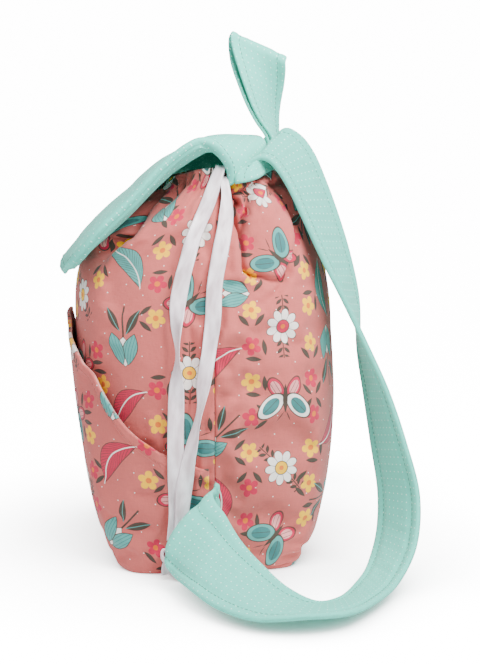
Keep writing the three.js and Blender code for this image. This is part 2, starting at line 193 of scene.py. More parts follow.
# The pleats and tucks that the drawstring pulls into the cloth. Each follows a line of (turn, up);
# the valley lies on the side that its sign names, and the ridge leans over it.
pleats = [
    {"line": [(110.8, 0.7), (105, 0.713), (100.8, 0.733), (100, 0.792), (97.5, 0.873), (98.5, 0.92),
              (97, 0.985)],
     "side": 1, "ridge": 2.6, "valley": 9.0, "lean": 4.6, "fade": (0.68, 0.74, 0.95, 1.02)},
    {"line": [(44, 0.76), (50, 0.802), (52.2, 0.823), (45.5, 0.88), (43, 0.922), (41.5, 0.985)],
     "side": -1, "ridge": 4.0, "valley": 13.0, "lean": 5.0, "wide": 2.0, "fade": (0.73, 0.8, 0.97, 1.02)},
    {"line": [(103, 0.79), (107, 0.86), (117, 0.935), (132, 0.96), (141, 0.99)],
     "side": -1, "ridge": 2.6, "valley": 6.0, "lean": 2.6, "fade": (0.77, 0.86, 0.97, 1.02)},
    {"line": [(112, 0.66), (120, 0.72), (128, 0.8), (133, 0.88)],
     "side": 1, "ridge": 1.8, "valley": 4.2, "lean": 2.2, "fade": (0.64, 0.73, 0.82, 0.9)},
    {"line": [(160, 0.72), (163, 0.82), (166, 0.9), (168, 0.99)],
     "side": 1, "ridge": 1.6, "valley": 3.4, "lean": 2.0, "fade": (0.73, 0.85, 0.97, 1.02)},
    {"line": [(212, 0.7), (206, 0.82), (203, 0.9), (201, 0.99)],
     "side": -1, "ridge": 1.6, "valley": 3.8, "lean": 2.2, "fade": (0.7, 0.84, 0.97, 1.02)},
    {"line": [(252, 0.71), (262, 0.79), (265, 0.87), (264, 0.99)],
     "side": -1, "ridge": 2.0, "valley": 5.0, "lean": 3.0, "fade": (0.69, 0.76, 0.96, 1.02)},
    {"line": [(318, 0.76), (310, 0.82), (315, 0.88), (318, 0.99)],
     "side": 1, "ridge": 2.4, "valley": 5.2, "lean": 3.0, "fade": (0.74, 0.8, 0.97, 1.02)},
    {"line": [(-14, 0.74), (-6, 0.84), (-2, 0.99)],
     "side": 1, "ridge": 1.8, "valley": 3.6, "lean": 2.0, "fade": (0.74, 0.84, 0.97, 1.02)},
]
degreeLength = 2.6  # millimetres round the bag, near the neck


def fromPleat(pleat, turn, up):  # how far a place lies to the valley's side of a pleat, in millimetres
    turns, ups = zip(*pleat["line"])
    return wrapped(turn - curveThrough(ups, turns, up)) * degreeLength * pleat["side"]


def pleated(turn, up):  # how far the pleats push a place out, and round, in millimetres and degrees
    out, shifted = 0, 0
    for pleat in pleats:
        turns, ups = zip(*pleat["line"])
        slope = (curveThrough(ups, turns, up + 0.004) - curveThrough(ups, turns, up - 0.004)) / 0.008
        away = fromPleat(pleat, turn, up) / np.hypot(1, slope * degreeLength / bag["height"])
        low, lowFull, highFull, high = pleat["fade"]
        shown = smooth(low, lowFull, up) * (1 - 0.75 * smooth(highFull, high, up))
        wide = pleat.get("wide", 1)
        valley = pleat["valley"] * bump(away - 4.5 * wide, 4.2 * wide)
        out = out + shown * (pleat["ridge"] * bump(away + 4, 5) - valley)
        shifted = shifted + shown * pleat["side"] * pleat["lean"] * bump(away + 1.5, 3.2) / degreeLength
    return out, shifted


def paintedFoldShade(turn, up):  # how deep the painted shade lies: 0 on the open cloth, 1 in the bottom of a pleat
    deep = 0
    for pleat in pleats:
        wide = pleat.get("wide", 1)
        shown = smooth(*pleat["fade"][:2], up) * pleat["valley"] / 11
        deep = np.maximum(deep, shown * bump(fromPleat(pleat, turn, up) - 3.6 * wide, 3.4 * wide))
    return np.clip(deep, 0, 1)


def rippled(turn, up):  # the fine gathers at the neck, the seams' puckers and the cloth's slack
    phase = turn * 0.42 + 1.6 * softNoise(11, turn / 23, up * 9)
    fine = (0.5 - np.abs(np.sin(phase))) * 2.2 * smooth(0.84, 0.97, up) * (1 - 0.5 * smooth(0.97, 1, up))
    fromSeam = np.minimum(np.abs(wrapped(turn - 90)), np.abs(wrapped(turn + 90)))
    pucker = 0.8 * softNoise(5, fromSeam / 5, up * 26) * bump(fromSeam, 7)
    slack = 0.5 * softNoise(3, turn / 9, up * 14 + turn / 30) + 0.9 * softNoise(8, turn / 26, up * 5)
    return fine + pucker + slack * smooth(0.02, 0.2, up)


settled = {"field": None}  # what the cloth simulation adds, filled in below
fieldSteps = {"turn": 120, "up": 60}


def underRibbons(turn, up):  # 1 where a ribbon lies over the cloth, 0 away from it
    covered = 0
    for rows in (ribbonFront, ribbonBack):
        turns, ups = list(zip(*rows[::-1]))[:2]
        away = np.abs(turn - curveThrough(ups, turns, up)) * ribbonPress["degree"]
        covered = np.maximum(covered, smooth(ribbonPress["end"], ribbonPress["start"], away))
    return covered * smooth(0.05, 0.1, up)


def clothAt(turn, up, out=0.0):  # the bag's outer skin with its pleats, in metres
    pushed, shifted = pleated(turn, up)
    relief = pushed + rippled(turn, up)
    pressed = underRibbons(turn, up)
    relief = relief - pressed * (np.maximum(relief, 0) + ribbonPress["deep"])
    place = onBag(turn + shifted * (1 - pressed), up, out + relief)
    if settled["field"] is not None:
        row = up * fieldSteps["up"]
        column = ((turn + 90) % 360) / 360 * fieldSteps["turn"]
        place = place + sampled(settled["field"], row, column) * (1 - pressed)[..., None]
    return place


pocket = {
    "thickness": 2, "hem": 0.9, "hemWide": 9, "standoff": 0.9, "gape": 5.4, "turn": 87.2, "fade": 26,
    "close": 0.7, "closeTurns": 34,  # how much nearer the hem lies at the middle of the front
    "columns": 190, "rows": 50, "hemRows": 34, "degree": 2.0, "seam": 1.4,
}
pocketEdge = [
    (0, 0.608), (10, 0.602), (22, 0.574), (38, 0.508), (46, 0.434), (54, 0.363), (62, 0.322), (70, 0.296),
    (80, 0.27), (92, 0.258),
]


def pocketTop(turn):
    return curveThrough(*zip(*pocketEdge), np.abs(turn))


def pocketSpace(turn, share):
    opened = smooth(0.3, 1, share) * smooth(0, pocket["fade"], pocket["turn"] - np.abs(turn))
    close = 1 - pocket["close"] * bump(turn, pocket["closeTurns"])
    return pocket["standoff"] + pocket["gape"] * opened * close


# Making closed cloth pieces from grids of points


def deselect():
    if bpy.context.object and bpy.context.object.mode != "OBJECT":
        bpy.ops.object.mode_set(mode="OBJECT")
    bpy.ops.object.select_all(action="DESELECT")


def verticesOf(mesh):
    flat = np.empty(len(mesh.vertices) * 3)
    mesh.vertices.foreach_get("co", flat)
    return flat.reshape(-1, 3)


def mapCloth(mesh, places):  # the cloth's own map, from one place for each vertex
    while mesh.uv_layers:
        mesh.uv_layers.remove(mesh.uv_layers[0])
    corner = np.empty(len(mesh.loops), int)
    mesh.loops.foreach_get("vertex_index", corner)
    mesh.uv_layers.new(name="clothMap").data.foreach_set("uv", places[corner].ravel())


def layer(points, mapped, inside, folds=None):  # one grid primitive, moved onto a grid of places
    rows, columns = points.shape[:2]
    deselect()
    bpy.ops.mesh.primitive_grid_add(x_subdivisions=columns - 1, y_subdivisions=rows - 1, size=1)
    piece = bpy.context.object
    mesh = piece.data
    flat = verticesOf(mesh)
    i = np.rint((flat[:, 1] + 0.5) * (rows - 1)).astype(int)
    j = np.rint((flat[:, 0] + 0.5) * (columns - 1)).astype(int)
    mesh.vertices.foreach_set("co", points[i, j].ravel())
    mapCloth(mesh, mapped[i, j])
    # fold: how much painted shade the print takes in the pleats' valleys, 0 where none is given
    deep = np.zeros(len(flat)) if folds is None else folds[i, j]
    for label, values in (("inside", np.full(len(flat), float(inside))), ("fold", deep)):
        mesh.attributes.new(label, "FLOAT", "POINT").data.foreach_set("value", values)
    return piece


def belong(piece, material):
    piece.data.materials.append(material)
    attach(piece, "root")


def closedCloth(name, outer, inner, mapped, material, folds=None):
    pieces = [layer(outer, mapped, 0, folds), layer(inner, mapped, 1)]
    deselect()
    for piece in pieces:
        piece.select_set(True)
    bpy.context.view_layer.objects.active = pieces[0]
    bpy.ops.object.join()
    piece = bpy.context.object
    piece.name = piece.data.name = name
    bpy.ops.object.mode_set(mode="EDIT")
    bpy.ops.mesh.select_all(action="SELECT")
    bpy.ops.mesh.remove_doubles(threshold=2e-6)
    bpy.ops.mesh.normals_make_consistent(inside=False)
    bpy.ops.object.mode_set(mode="OBJECT")
    bpy.ops.object.shade_smooth()
    belong(piece, material)
    return piece


def gridNormals(points):
    along = np.gradient(points, axis=0)
    across = np.gradient(points, axis=1)
    normal = np.cross(along, across)
    return normal / np.maximum(np.linalg.norm(normal, axis=-1, keepdims=True), 1e-12)


def unrolled(at, total, radius):  # the map's place across a piece whose two edges are rounded over
    def extra(distance):
        near = np.clip(distance, 0, radius)
        return radius * np.arccos(1 - near / radius) - near

    return at + extra(at) - extra(total - at)


def roundEdge(distance, radius):  # 0 at the edge, 1 from the radius inwards, as a quarter circle
    return np.sqrt(np.clip(1 - (1 - np.clip(distance / radius, 0, 1)) ** 2, 0, 1))


def routed(controls, pitch):  # one smooth surface through rows of points, with rows at an even pitch
    padded = np.concatenate([[2 * controls[0] - controls[1]], controls, [2 * controls[-1] - controls[-2]]])
    steps = np.sqrt(np.maximum(np.linalg.norm(np.diff(padded, axis=0), axis=-1), 1e-9))[..., None]
    pieces = []
    t = np.linspace(0, 1, 24, endpoint=False)[:, None, None]
    for k in range(len(controls) - 1):
        a, b, c, d = padded[k : k + 4]
        before, here, after = steps[k : k + 3]
        start = ((b - a) / before - (c - a) / (before + here) + (c - b) / here) * here
        end = ((c - b) / here - (d - b) / (here + after) + (d - c) / after) * here
        pieces.append(
            (2 * t**3 - 3 * t**2 + 1) * b + (t**3 - 2 * t**2 + t) * start
            + (3 * t**2 - 2 * t**3) * c + (t**3 - t**2) * end
        )
    surface = np.concatenate(pieces + [controls[-1:]])
    length = lengthAlong(surface[:, surface.shape[1] // 2])
    stops = edgeSpaced(length[-1] / mm, pitch / mm) * mm
    index = np.interp(stops, length, np.arange(len(length)))
    low = np.minimum(index.astype(int), len(surface) - 2)
    part = (index - low)[:, None, None]
    return surface[low] * (1 - part) + surface[low + 1] * part, stops


def nearest(values, wanted):
    return int(np.argmin(np.abs(values - wanted)))


def direction(heading, dip):
    level, tilt = np.radians(heading), np.radians(dip)
    return np.array([np.cos(tilt) * np.cos(level), np.cos(tilt) * np.sin(level), np.sin(tilt)])


# Stitches: one small bead, copied along rows of places

stitch = {"length": 2.5, "gap": 0.9, "thick": 0.52, "raised": 0.12}


def stitchRows(name, rows, material):
    deselect()
    bpy.ops.mesh.primitive_uv_sphere_add(segments=6, ring_count=4, radius=0.5)
    bead = bpy.context.object
    size = np.array([stitch["thick"], stitch["thick"], stitch["length"]]) * mm
    shape = verticesOf(bead.data) * size
    faces = [list(p.vertices) for p in bead.data.polygons]
    bpy.data.objects.remove(bead)
    points, allFaces = [], []
    for places, normals in rows:
        run = lengthAlong(places)
        count = int(run[-1] / ((stitch["length"] + stitch["gap"]) * mm))
        for at in (np.arange(count) + 0.5) / count * run[-1]:
            ends = ((at, places), (min(at + mm, run[-1]), places), (max(at - mm, 0), places), (at, normals))
            middle, ahead, behind, out = (
                np.array([np.interp(x, run, line[:, k]) for k in range(3)]) for x, line in ends
            )
            along = unit(ahead - behind)
            out = unit(out - along * out.dot(along))
            side = np.cross(out, along)
            allFaces += [[i + len(points) * len(shape) for i in face] for face in faces]
            points.append(middle + out * stitch["raised"] * mm + shape @ np.array([side, out, along]))
    mesh = bpy.data.meshes.new(name)
    mesh.from_pydata(np.concatenate(points).tolist(), [], allFaces)
    piece = bpy.data.objects.new(name, mesh)
    bpy.context.collection.objects.link(piece)
    mesh.shade_smooth()
    belong(piece, material)


# Node helpers. Each one finds its tree from the sockets that it is given.


def feed(tree, socket, value):
    if isinstance(value, bpy.types.NodeSocket):
        tree.links.new(value, socket)
    else:
        socket.default_value = value


def add(tree, kind, inputs=(), **settings):
    made = tree.nodes.new("ShaderNode" + kind)
    for key, value in settings.items():
        setattr(made, key, value)
    wire(made, dict(inputs))
    return made


def wire(node, inputs):
    for key, value in inputs.items():
        feed(node.id_data, node.inputs[key], value)


def treeOf(values):
    return next(value.id_data for value in values if isinstance(value, bpy.types.NodeSocket))


def calc(operation, *values):
    return add(treeOf(values), "Math", enumerate(values), operation=operation).outputs[0]


def plus(*values):
    return calc("ADD", *values)


def minus(*values):
    return calc("SUBTRACT", *values)


def times(*values):
    return calc("MULTIPLY", *values)


def unsigned(value):
    return calc("ABSOLUTE", value)


def vector(operation, *values):
    return add(treeOf(values), "VectorMath", enumerate(values), operation=operation).outputs[0]


def scaled(point, share):
    return add(point.id_data, "VectorMath", {0: point, 3: share}, operation="SCALE").outputs[0]


def reach(point):
    return add(point.id_data, "VectorMath", {0: point}, operation="LENGTH").outputs["Value"]


def turned(point, angle):
    return add(point.id_data, "VectorRotate", {"Vector": point, "Angle": angle}, rotation_type="Z_AXIS").outputs[0]


def apart(point):
    return add(point.id_data, "SeparateXYZ", {0: point}).outputs


def joined(*parts):
    return add(treeOf(parts), "CombineXYZ", enumerate(parts)).outputs[0]


def ranged(value, start, end, least, most):
    inputs = {"Value": value, "From Min": start, "From Max": end, "To Min": least, "To Max": most}
    return add(value.id_data, "MapRange", inputs).outputs[0]


def blend(share, first, second):
    return add(share.id_data, "Mix", {0: share, 6: first, 7: second}, data_type="RGBA").outputs[2]


def toned(colour, value, saturation=1.0):
    inputs = {"Color": colour, "Value": value, "Saturation": saturation}
    return add(treeOf([colour, value]), "HueSaturation", inputs).outputs[0]


def noise(point, **inputs):
    return add(point.id_data, "TexNoise", {"Vector": point, **inputs}).outputs[0]


def relief(height, strength, distance, **inputs):
    inputs = {"Height": height, "Strength": strength, "Distance": distance, **inputs}
    return add(height.id_data, "Bump", inputs).outputs[0]


def paint(red, green, blue):  # a colour from 0 to 255 as the eye sees it
    linear = [((c / 255 + 0.055) / 1.055) ** 2.4 if c > 10 else c / 255 / 12.92 for c in (red, green, blue)]
    return (*linear, 1)


socketKinds = {"Point": "Vector", "Centre": "Vector", "Local": "Vector", "Color": "Color"}


def newGroup(name, inputs, outputs):  # the sockets that have no kind of their own are plain numbers
    group = bpy.data.node_groups.new(name, "ShaderNodeTree")
    for way, labels in (("INPUT", inputs), ("OUTPUT", outputs)):
        for label in labels.split():
            kind = "NodeSocket" + socketKinds.get(label, "Float")
            group.interface.new_socket(label, in_out=way, socket_type=kind)
    return group, group.nodes.new("NodeGroupInput").outputs, group.nodes.new("NodeGroupOutput")


def place(group, **inputs):
    return add(treeOf(inputs.values()), "Group", inputs, node_tree=group).outputs


def inked(away, edge=0.1):  # 1 inside a shape, 0 outside it, from the distance to its outline
    return ranged(away, edge, -edge, 0, 1)


def outlined(away, wide):
    return inked(minus(unsigned(away), wide))


# The groups that the materials share


def makeShapeGroups():
    made = {}
    for name in ("oval", "leaf"):
        group, given, put = newGroup(name, "Point Centre Angle Wide Long", "Away Across Along")
        moved = vector("SUBTRACT", given["Point"], given["Centre"])
        x, y = apart(turned(moved, given["Angle"]))[:2]
        along = calc("DIVIDE", y, given["Long"])
        if name == "oval":
            across = calc("DIVIDE", x, given["Wide"])
            far = calc("SQRT", plus(times(across, across), times(along, along)))
            away = times(minus(far, 1.0), given["Wide"])
        else:
            away = minus(unsigned(x), times(minus(1.0, times(along, along)), given["Wide"]))
        wire(put, {"Away": away, "Across": x, "Along": y})
        made[name] = group
    group, given, put = newGroup("blossom", "Point Petals Radius Depth", "Away Reach Petal")
    x, y = apart(given["Point"])[:2]
    far = reach(given["Point"])
    petal = unsigned(calc("COSINE", times(calc("ARCTAN2", y, x), times(given["Petals"], 0.5))))
    notch = times(given["Depth"], minus(1.0, calc("POWER", petal, 0.6)))
    edge = times(given["Radius"], minus(1.0, notch))
    wire(put, {"Away": minus(far, edge), "Reach": far, "Petal": petal})
    made["blossom"] = group
    return made


def makeToss():  # a half-drop layout: the place inside a cell, turned its own way
    group, given, put = newGroup("toss", "Point Wide Tall Drop Seed", "Local Column Row Pick")
    wide, tall = given["Wide"], given["Tall"]
    x, y = apart(given["Point"])[:2]
    column = calc("FLOOR", calc("DIVIDE", x, wide))
    odd = calc("FLOORED_MODULO", column, 2.0)
    lowered = plus(y, times(times(odd, given["Drop"]), tall))
    row = calc("FLOOR", calc("DIVIDE", lowered, tall))
    local = joined(minus(x, times(plus(column, 0.5), wide)), minus(lowered, times(plus(row, 0.5), tall)))
    cell = joined(column, row, given["Seed"])
    chance = apart(add(group, "TexWhiteNoise", {"Vector": cell}, noise_dimensions="3D").outputs["Color"])
    eighth = 0.785398
    angle = times(calc("FLOOR", times(chance[0], 8.0)), eighth)
    wire(put, {"Local": turned(local, angle), "Column": column, "Row": row, "Pick": chance[1]})
    return group


def makeWeave():  # plain weave: threads over and under, with uneven yarns
    group, given, put = newGroup("weave", "Point Pitch", "Height Tone")
    point = given["Point"]
    waves = [calc("SINE", calc("DIVIDE", times(way, 3.14159), given["Pitch"])) for way in apart(point)[:2]]
    stretches = ((1.7, 0.16, 1.0), (0.16, 1.7, 1.0))
    slubs = [noise(vector("MULTIPLY", point, stretch), Scale=1.0, Detail=1.0) for stretch in stretches]
    wire(put, {"Height": times(*waves), "Tone": times(plus(*slubs), 0.5)})
    return group


shapes = makeShapeGroups()
toss = makeToss()
weave = makeWeave()

inks = {
    "ground": paint(197, 94, 88), "rose": paint(196, 24, 66), "teal": paint(82, 158, 152),
    "deepTeal": paint(50, 116, 116), "yellow": paint(255, 190, 0), "orange": paint(226, 112, 30),
    "white": paint(244, 236, 230), "line": paint(66, 54, 44), "blush": paint(236, 150, 150),
}
layout = {"wide": 45, "tall": 49, "motif": 1.07, "bloom": 1.3, "pin": 13, "pinSize": 0.4}


def shape(name, point, centre, angle, wide, long):
    return place(shapes[name], Point=point, Centre=(*centre, 0), Angle=angle, Wide=wide, Long=long)


def laid(colour, share, ink):  # an ink printed over what is there
    return blend(share, colour, inks[ink])


def picked(pick, share, often, seldom):  # one of two inks, by a motif's own chance
    return blend(calc("GREATER_THAN", pick, share), inks[often], inks[seldom])


# Each motif is drawn in millimetres round its own middle, over the colour that it is given.


def tulip(point, pick, colour):
    for centre, angle, wide, long in (((-6.2, -8.5), 0.5, 2.7, 9.5), ((6.4, -9.5), -0.55, 2.5, 8.5)):
        leaf = shape("leaf", point, centre, angle, wide, long)
        colour = laid(colour, inked(leaf["Away"]), "line")
        colour = laid(colour, times(inked(leaf["Away"]), outlined(leaf["Across"], 0.22)), "teal")
    x, y = apart(point)[:2]
    stem = calc("MAXIMUM", minus(unsigned(x), 0.55), minus(unsigned(plus(y, 8.0)), 11.0))
    colour = laid(colour, inked(stem), "line")
    petalInk = picked(pick, 0.5, "teal", "rose")
    heart = shape("leaf", point, (0, 11), 0, 5.2, 9.5)["Away"]
    colour = laid(colour, inked(heart), "white")
    colour = laid(colour, outlined(heart, 0.28), "line")
    for side in (-1, 1):
        petal = shape("leaf", point, (4.6 * side, 9.2), -0.26 * side, 4.6, 10.6)
        inside = inked(petal["Away"])
        colour = blend(inside, colour, petalInk)
        stripes = minus(calc("PINGPONG", plus(petal["Across"], 20.0), 0.95), 0.2)
        colour = laid(colour, times(inside, inked(stripes)), "deepTeal")
        colour = laid(colour, outlined(petal["Away"], 0.28), "line")
    return colour


def daisy(point, pick, colour):
    x, y = (unsigned(part) for part in apart(point)[:2])
    step = minus(calc("FLOORED_MODULO", apart(point)[1], 4.4), 2.2)
    leaf = shape("leaf", joined(x, step), (2.5, 0.3), -0.85, 1.15, 2.7)
    leafRun = calc("MAXIMUM", leaf["Away"], minus(y, 19.4))
    stem = calc("MAXIMUM", minus(x, 0.35), minus(y, 20.0))
    colour = laid(colour, inked(calc("MINIMUM", leafRun, stem)), "line")
    flower = place(shapes["blossom"], Point=point, Petals=9.0, Radius=11.2, Depth=0.42)
    away, far = flower["Away"], flower["Reach"]
    colour = laid(colour, inked(away), "white")
    ray = times(inked(minus(times(flower["Petal"], far), 0.55)), inked(away))
    colour = laid(colour, ray, "line")
    colour = laid(colour, outlined(away, 0.28), "line")
    heart = minus(far, 4.2)
    colour = blend(inked(heart), colour, picked(pick, 0.45, "rose", "yellow"))
    colour = laid(colour, outlined(heart, 0.28), "line")
    return laid(colour, inked(minus(far, 1.5)), "orange")


def feather(point, pick, colour):
    x, y = apart(point)[:2]
    bent = plus(x, times(times(y, y), 0.021))
    vane = shape("leaf", joined(minus(bent, 3.0), y), (0, 1.5), 0, 7.4, 18.5)
    across, along = unsigned(vane["Across"]), vane["Along"]
    inside = inked(vane["Away"])
    colour = blend(inside, colour, picked(pick, 0.5, "rose", "teal"))
    barb = minus(calc("PINGPONG", plus(minus(along, times(across, 1.3)), 60.0), 1.25), 0.2)
    colour = laid(colour, times(inside, inked(barb)), "line")
    colour = laid(colour, outlined(vane["Away"], 0.26), "line")
    quill = calc("MAXIMUM", minus(across, 0.42), minus(unsigned(along), 19.0))
    return laid(colour, inked(quill), "white")


def butterfly(point, pick, colour):
    x, y = apart(point)[:2]
    mirrored = joined(unsigned(x), y)
    for centre, angle, wide, long, ink, innerInk in (
        ((6.0, -7.4), -0.55, 4.4, 7.2, inks["rose"], "blush"),
        ((9.0, 4.6), 0.8, 5.6, 10.4, picked(pick, 0.5, "teal", "white"), "deepTeal"),
    ):
        wing = shape("oval", mirrored, centre, angle, wide, long)
        colour = blend(inked(wing["Away"]), colour, ink)
        colour = laid(colour, outlined(wing["Away"], 0.3), "line")
        inner = inked(plus(wing["Away"], wide * 0.34))
        colour = laid(colour, inner, innerInk)
        veins = minus(calc("PINGPONG", plus(wing["Across"], 30.0), wide * 0.3), 0.16)
        colour = laid(colour, times(inner, inked(veins)), "line")
    body = shape("leaf", point, (0, -0.5), 0, 1.5, 9.5)
    feeler = shape("leaf", mirrored, (2.6, 11.2), 0.5, 0.35, 4.2)
    return laid(colour, inked(calc("MINIMUM", body["Away"], feeler["Away"])), "line")


def makePrint():  # the flower and feather print: four motifs in turn, small blossoms between, pin dots all over
    group, given, put = newGroup("gardenPrint", "Point", "Color")
    point = given["Point"]
    wide, tall, pin = layout["wide"], layout["tall"], layout["pin"]
    pins = place(toss, Point=point, Wide=pin, Tall=pin * 1.1, Drop=0.5, Seed=3.0)
    colour = blend(inked(minus(reach(pins["Local"]), layout["pinSize"])), inks["ground"], inks["white"])

    shifted = vector("ADD", point, (wide / 2, 0, 0))
    small = place(toss, Point=shifted, Wide=wide, Tall=tall / 2, Drop=0.0, Seed=9.0)
    bloomPoint = scaled(small["Local"], 1 / layout["bloom"])
    bloom = place(shapes["blossom"], Point=bloomPoint, Petals=5.0, Radius=5.2, Depth=0.55)
    used = calc("GREATER_THAN", calc("FRACT", times(small["Pick"], 7.0)), 0.12)
    x, y = apart(bloomPoint)[:2]
    sprig = shape("leaf", joined(unsigned(x), y), (4.2, -5.4), 0.7, 1.3, 4.2)
    colour = laid(colour, times(used, inked(sprig["Away"])), "line")
    colour = blend(times(used, inked(bloom["Away"])), colour, picked(small["Pick"], 0.5, "yellow", "rose"))
    colour = laid(colour, times(used, inked(minus(bloom["Reach"], 1.5))), "orange")

    main = place(toss, Point=point, Wide=wide, Tall=tall, Drop=0.5, Seed=1.0)
    kind = calc("FLOORED_MODULO", plus(main["Column"], times(main["Row"], 2.0)), 4.0)
    under = colour
    motifPoint = scaled(main["Local"], 1 / layout["motif"])
    for number, draw in enumerate((tulip, daisy, feather, butterfly)):
        chosen = calc("COMPARE", kind, float(number), 0.25)
        colour = blend(chosen, colour, draw(motifPoint, main["Pick"], under))
    wire(put, {"Color": colour})
    return group


def newMaterial(name):
    material = bpy.data.materials.new(name)
    material.use_nodes = True
    tree = material.node_tree
    tree.nodes.clear()
    shader = add(tree, "BsdfPrincipled")
    add(tree, "OutputMaterial", {0: shader.outputs[0]})
    return material, tree, shader


def clothPoint(tree):  # the cloth's own map, in millimetres
    return scaled(add(tree, "UVMap", uv_map="clothMap").outputs[0], 1000.0)


def attribute(tree, name):
    return add(tree, "Attribute", attribute_name=name).outputs["Fac"]


cotton = {"pitch": 0.42, "weave": 0.35, "sheen": 0.12, "sheenRough": 0.5}


def woolly(point, swell, least, most):  # weave and soft creases as relief, and the yarns' uneven tone
    threads = place(weave, Point=point, Pitch=cotton["pitch"])
    fine = relief(threads["Height"], cotton["weave"], 0.00012)
    crease = noise(point, Scale=0.16, Detail=3.0, Roughness=0.55)
    return relief(crease, swell, 0.0012, Normal=fine), ranged(threads["Tone"], 0.3, 0.7, least, most)


def cottonFinish(shader, colour, normal, rough):
    wire(shader, {"Base Color": colour, "Normal": normal, "Roughness": rough,
                  "Sheen Weight": cotton["sheen"], "Sheen Roughness": cotton["sheenRough"]})


def printCloth(printGroup):
    material, tree, shader = newMaterial("print_cotton")
    point = clothPoint(tree)
    normal, tone = woolly(point, 0.35, 0.86, 0.98)
    washed = toned(place(printGroup, Point=point)["Color"], tone)
    # Painted shade: the print is darker and deeper in colour in the pleats' valleys, by the fold attribute
    shaded = blend(times(attribute(tree, "fold"), 0.62), washed, toned(washed, 0.3, 1.25))
    colour = blend(times(attribute(tree, "inside"), 0.55), shaded, paint(232, 178, 168))
    cottonFinish(shader, colour, normal, 0.88)
    return material


# under darkens the inner layer, a painted shade; glow and through give the inner layer a painted glow, green light
# that stands in for light coming through the cloth
mintInks = {
    "cloth": paint(94, 210, 190), "dot": paint(190, 244, 232), "glow": paint(30, 150, 120),
    "pitch": 5.2, "size": 0.48, "under": 0.8, "through": 0.14,
}


def mintCloth():
    material, tree, shader = newMaterial("mint_cotton")
    point = clothPoint(tree)
    pitch = mintInks["pitch"]
    cells = place(toss, Point=point, Wide=pitch, Tall=pitch, Drop=0.0, Seed=5.0)
    dots = inked(minus(reach(cells["Local"]), mintInks["size"]))
    normal, tone = woolly(point, 0.4, 0.94, 1.04)
    washed = toned(mintInks["cloth"], tone)
    under = attribute(tree, "inside")
    # Painted shade: the inner layer is darker than the outer
    cloth = blend(under, washed, toned(washed, mintInks["under"]))
    cottonFinish(shader, blend(dots, cloth, mintInks["dot"]), normal, 0.9)
    # Painted glow: the inner layer gives off green light, though it is no lamp, standing in for light through the
    # cloth
    wire(shader, {"Emission Strength": times(under, mintInks["through"]), "Emission Color": mintInks["glow"]})
    return material


# shade is a painted shade and shine a painted highlight
satinInks = {"shade": paint(206, 188, 194), "shine": paint(248, 238, 244), "selvedge": paint(240, 230, 236)}


def satinRibbon():
    material, tree, shader = newMaterial("white_satin")
    point = clothPoint(tree)
    lines = noise(vector("MULTIPLY", point, (0.5, 7.0, 1.0)), Scale=1.0, Detail=2.0)
    folds = noise(vector("MULTIPLY", point, (0.05, 0.15, 1.0)), Scale=1.0, Detail=2.0)
    normal = relief(folds, 0.55, 0.0016, Normal=relief(lines, 0.12, 0.00012))
    selvedge = inked(minus(5.1, unsigned(apart(point)[1])), 0.2)
    # Painted shade and painted highlight: the ribbon's colour runs from darker to lighter along the same noise that
    # bends its folds
    body = blend(ranged(folds, 0.35, 0.65, 0, 1), satinInks["shade"], satinInks["shine"])
    wire(shader, {"Base Color": blend(selvedge, body, satinInks["selvedge"]), "Normal": normal,
                  "Roughness": ranged(lines, 0.3, 0.7, 0.22, 0.34), "Sheen Weight": 0.2})
    return material


def threadMaterial(name, colour):
    material, tree, shader = newMaterial(name)
    point = add(tree, "TexCoord").outputs["Object"]
    waves = {"Vector": point, "Scale": 1400.0, "Distortion": 1.0}
    twist = add(tree, "TexWave", waves, bands_direction="DIAGONAL").outputs[1]
    darker = tuple(c * 0.8 for c in colour[:3]) + (1,)
    wire(shader, {"Base Color": blend(twist, darker, colour), "Normal": relief(twist, 0.4, 0.00005),
                  "Roughness": 0.7})
    return material


print("making the materials")
pinkPrint = printCloth(makePrint())
mint = mintCloth()
satin = satinRibbon()
mintThread = threadMaterial("mint_thread", paint(72, 150, 134))
pinkThread = threadMaterial("pink_thread", paint(190, 104, 98))

# The drawstring's two hanging ends, the only cords

ribbon = {
    "width": 11, "thick": 0.5, "clearance": 1.7, "over": 1.2, "pitch": 2.0,
    "topWidth": 0.62, "lowWidth": 0.5, "cup": 1.3, "waves": 0.6, "lift": 0.5, "rim": 0.6,
}
ribbonRim = {"ribbon_front": 89.2, "ribbon_back": 92.4}  # where each comes up over the neck's edge
rimRows = [(0.6, 0.975, -5.0), (0.3, 1.004, -1.6), (0, 1.0, 1.6)]
ribbonTwists = {  # how far each row is turned about the ribbon's middle, in degrees
    "ribbon_front": [0, 12, -16, 14, -8, 40, 70, 24, -8, 6, -10, 0],
    "ribbon_back": [0, -14, 12, -10, 14, -18, 36, 72, 46, -8, 8, 0],
}


def overPocket(turn, up):
    share = up / pocketTop(turn)
    raised = smooth(1.5, 1.16, share)
    hem = pocket["thickness"] + pocket["hem"]
    return (pocketSpace(turn, share) + hem) * raised


def strip(name, surface, normal, run, spread, width, half, rim):  # satin, closed round a surface
    fromEnd = np.minimum(run, run[-1] - run)[:, None] / mm
    thick = half * roundEdge((0.5 - np.abs(spread)) * width, rim) * roundEdge(fromEnd, rim) * mm
    mapped = np.stack(np.broadcast_arrays(run[:, None], spread * width * mm), -1)
    lift = normal * thick[..., None]
    return closedCloth(name, surface + lift, surface - lift, mapped, satin)


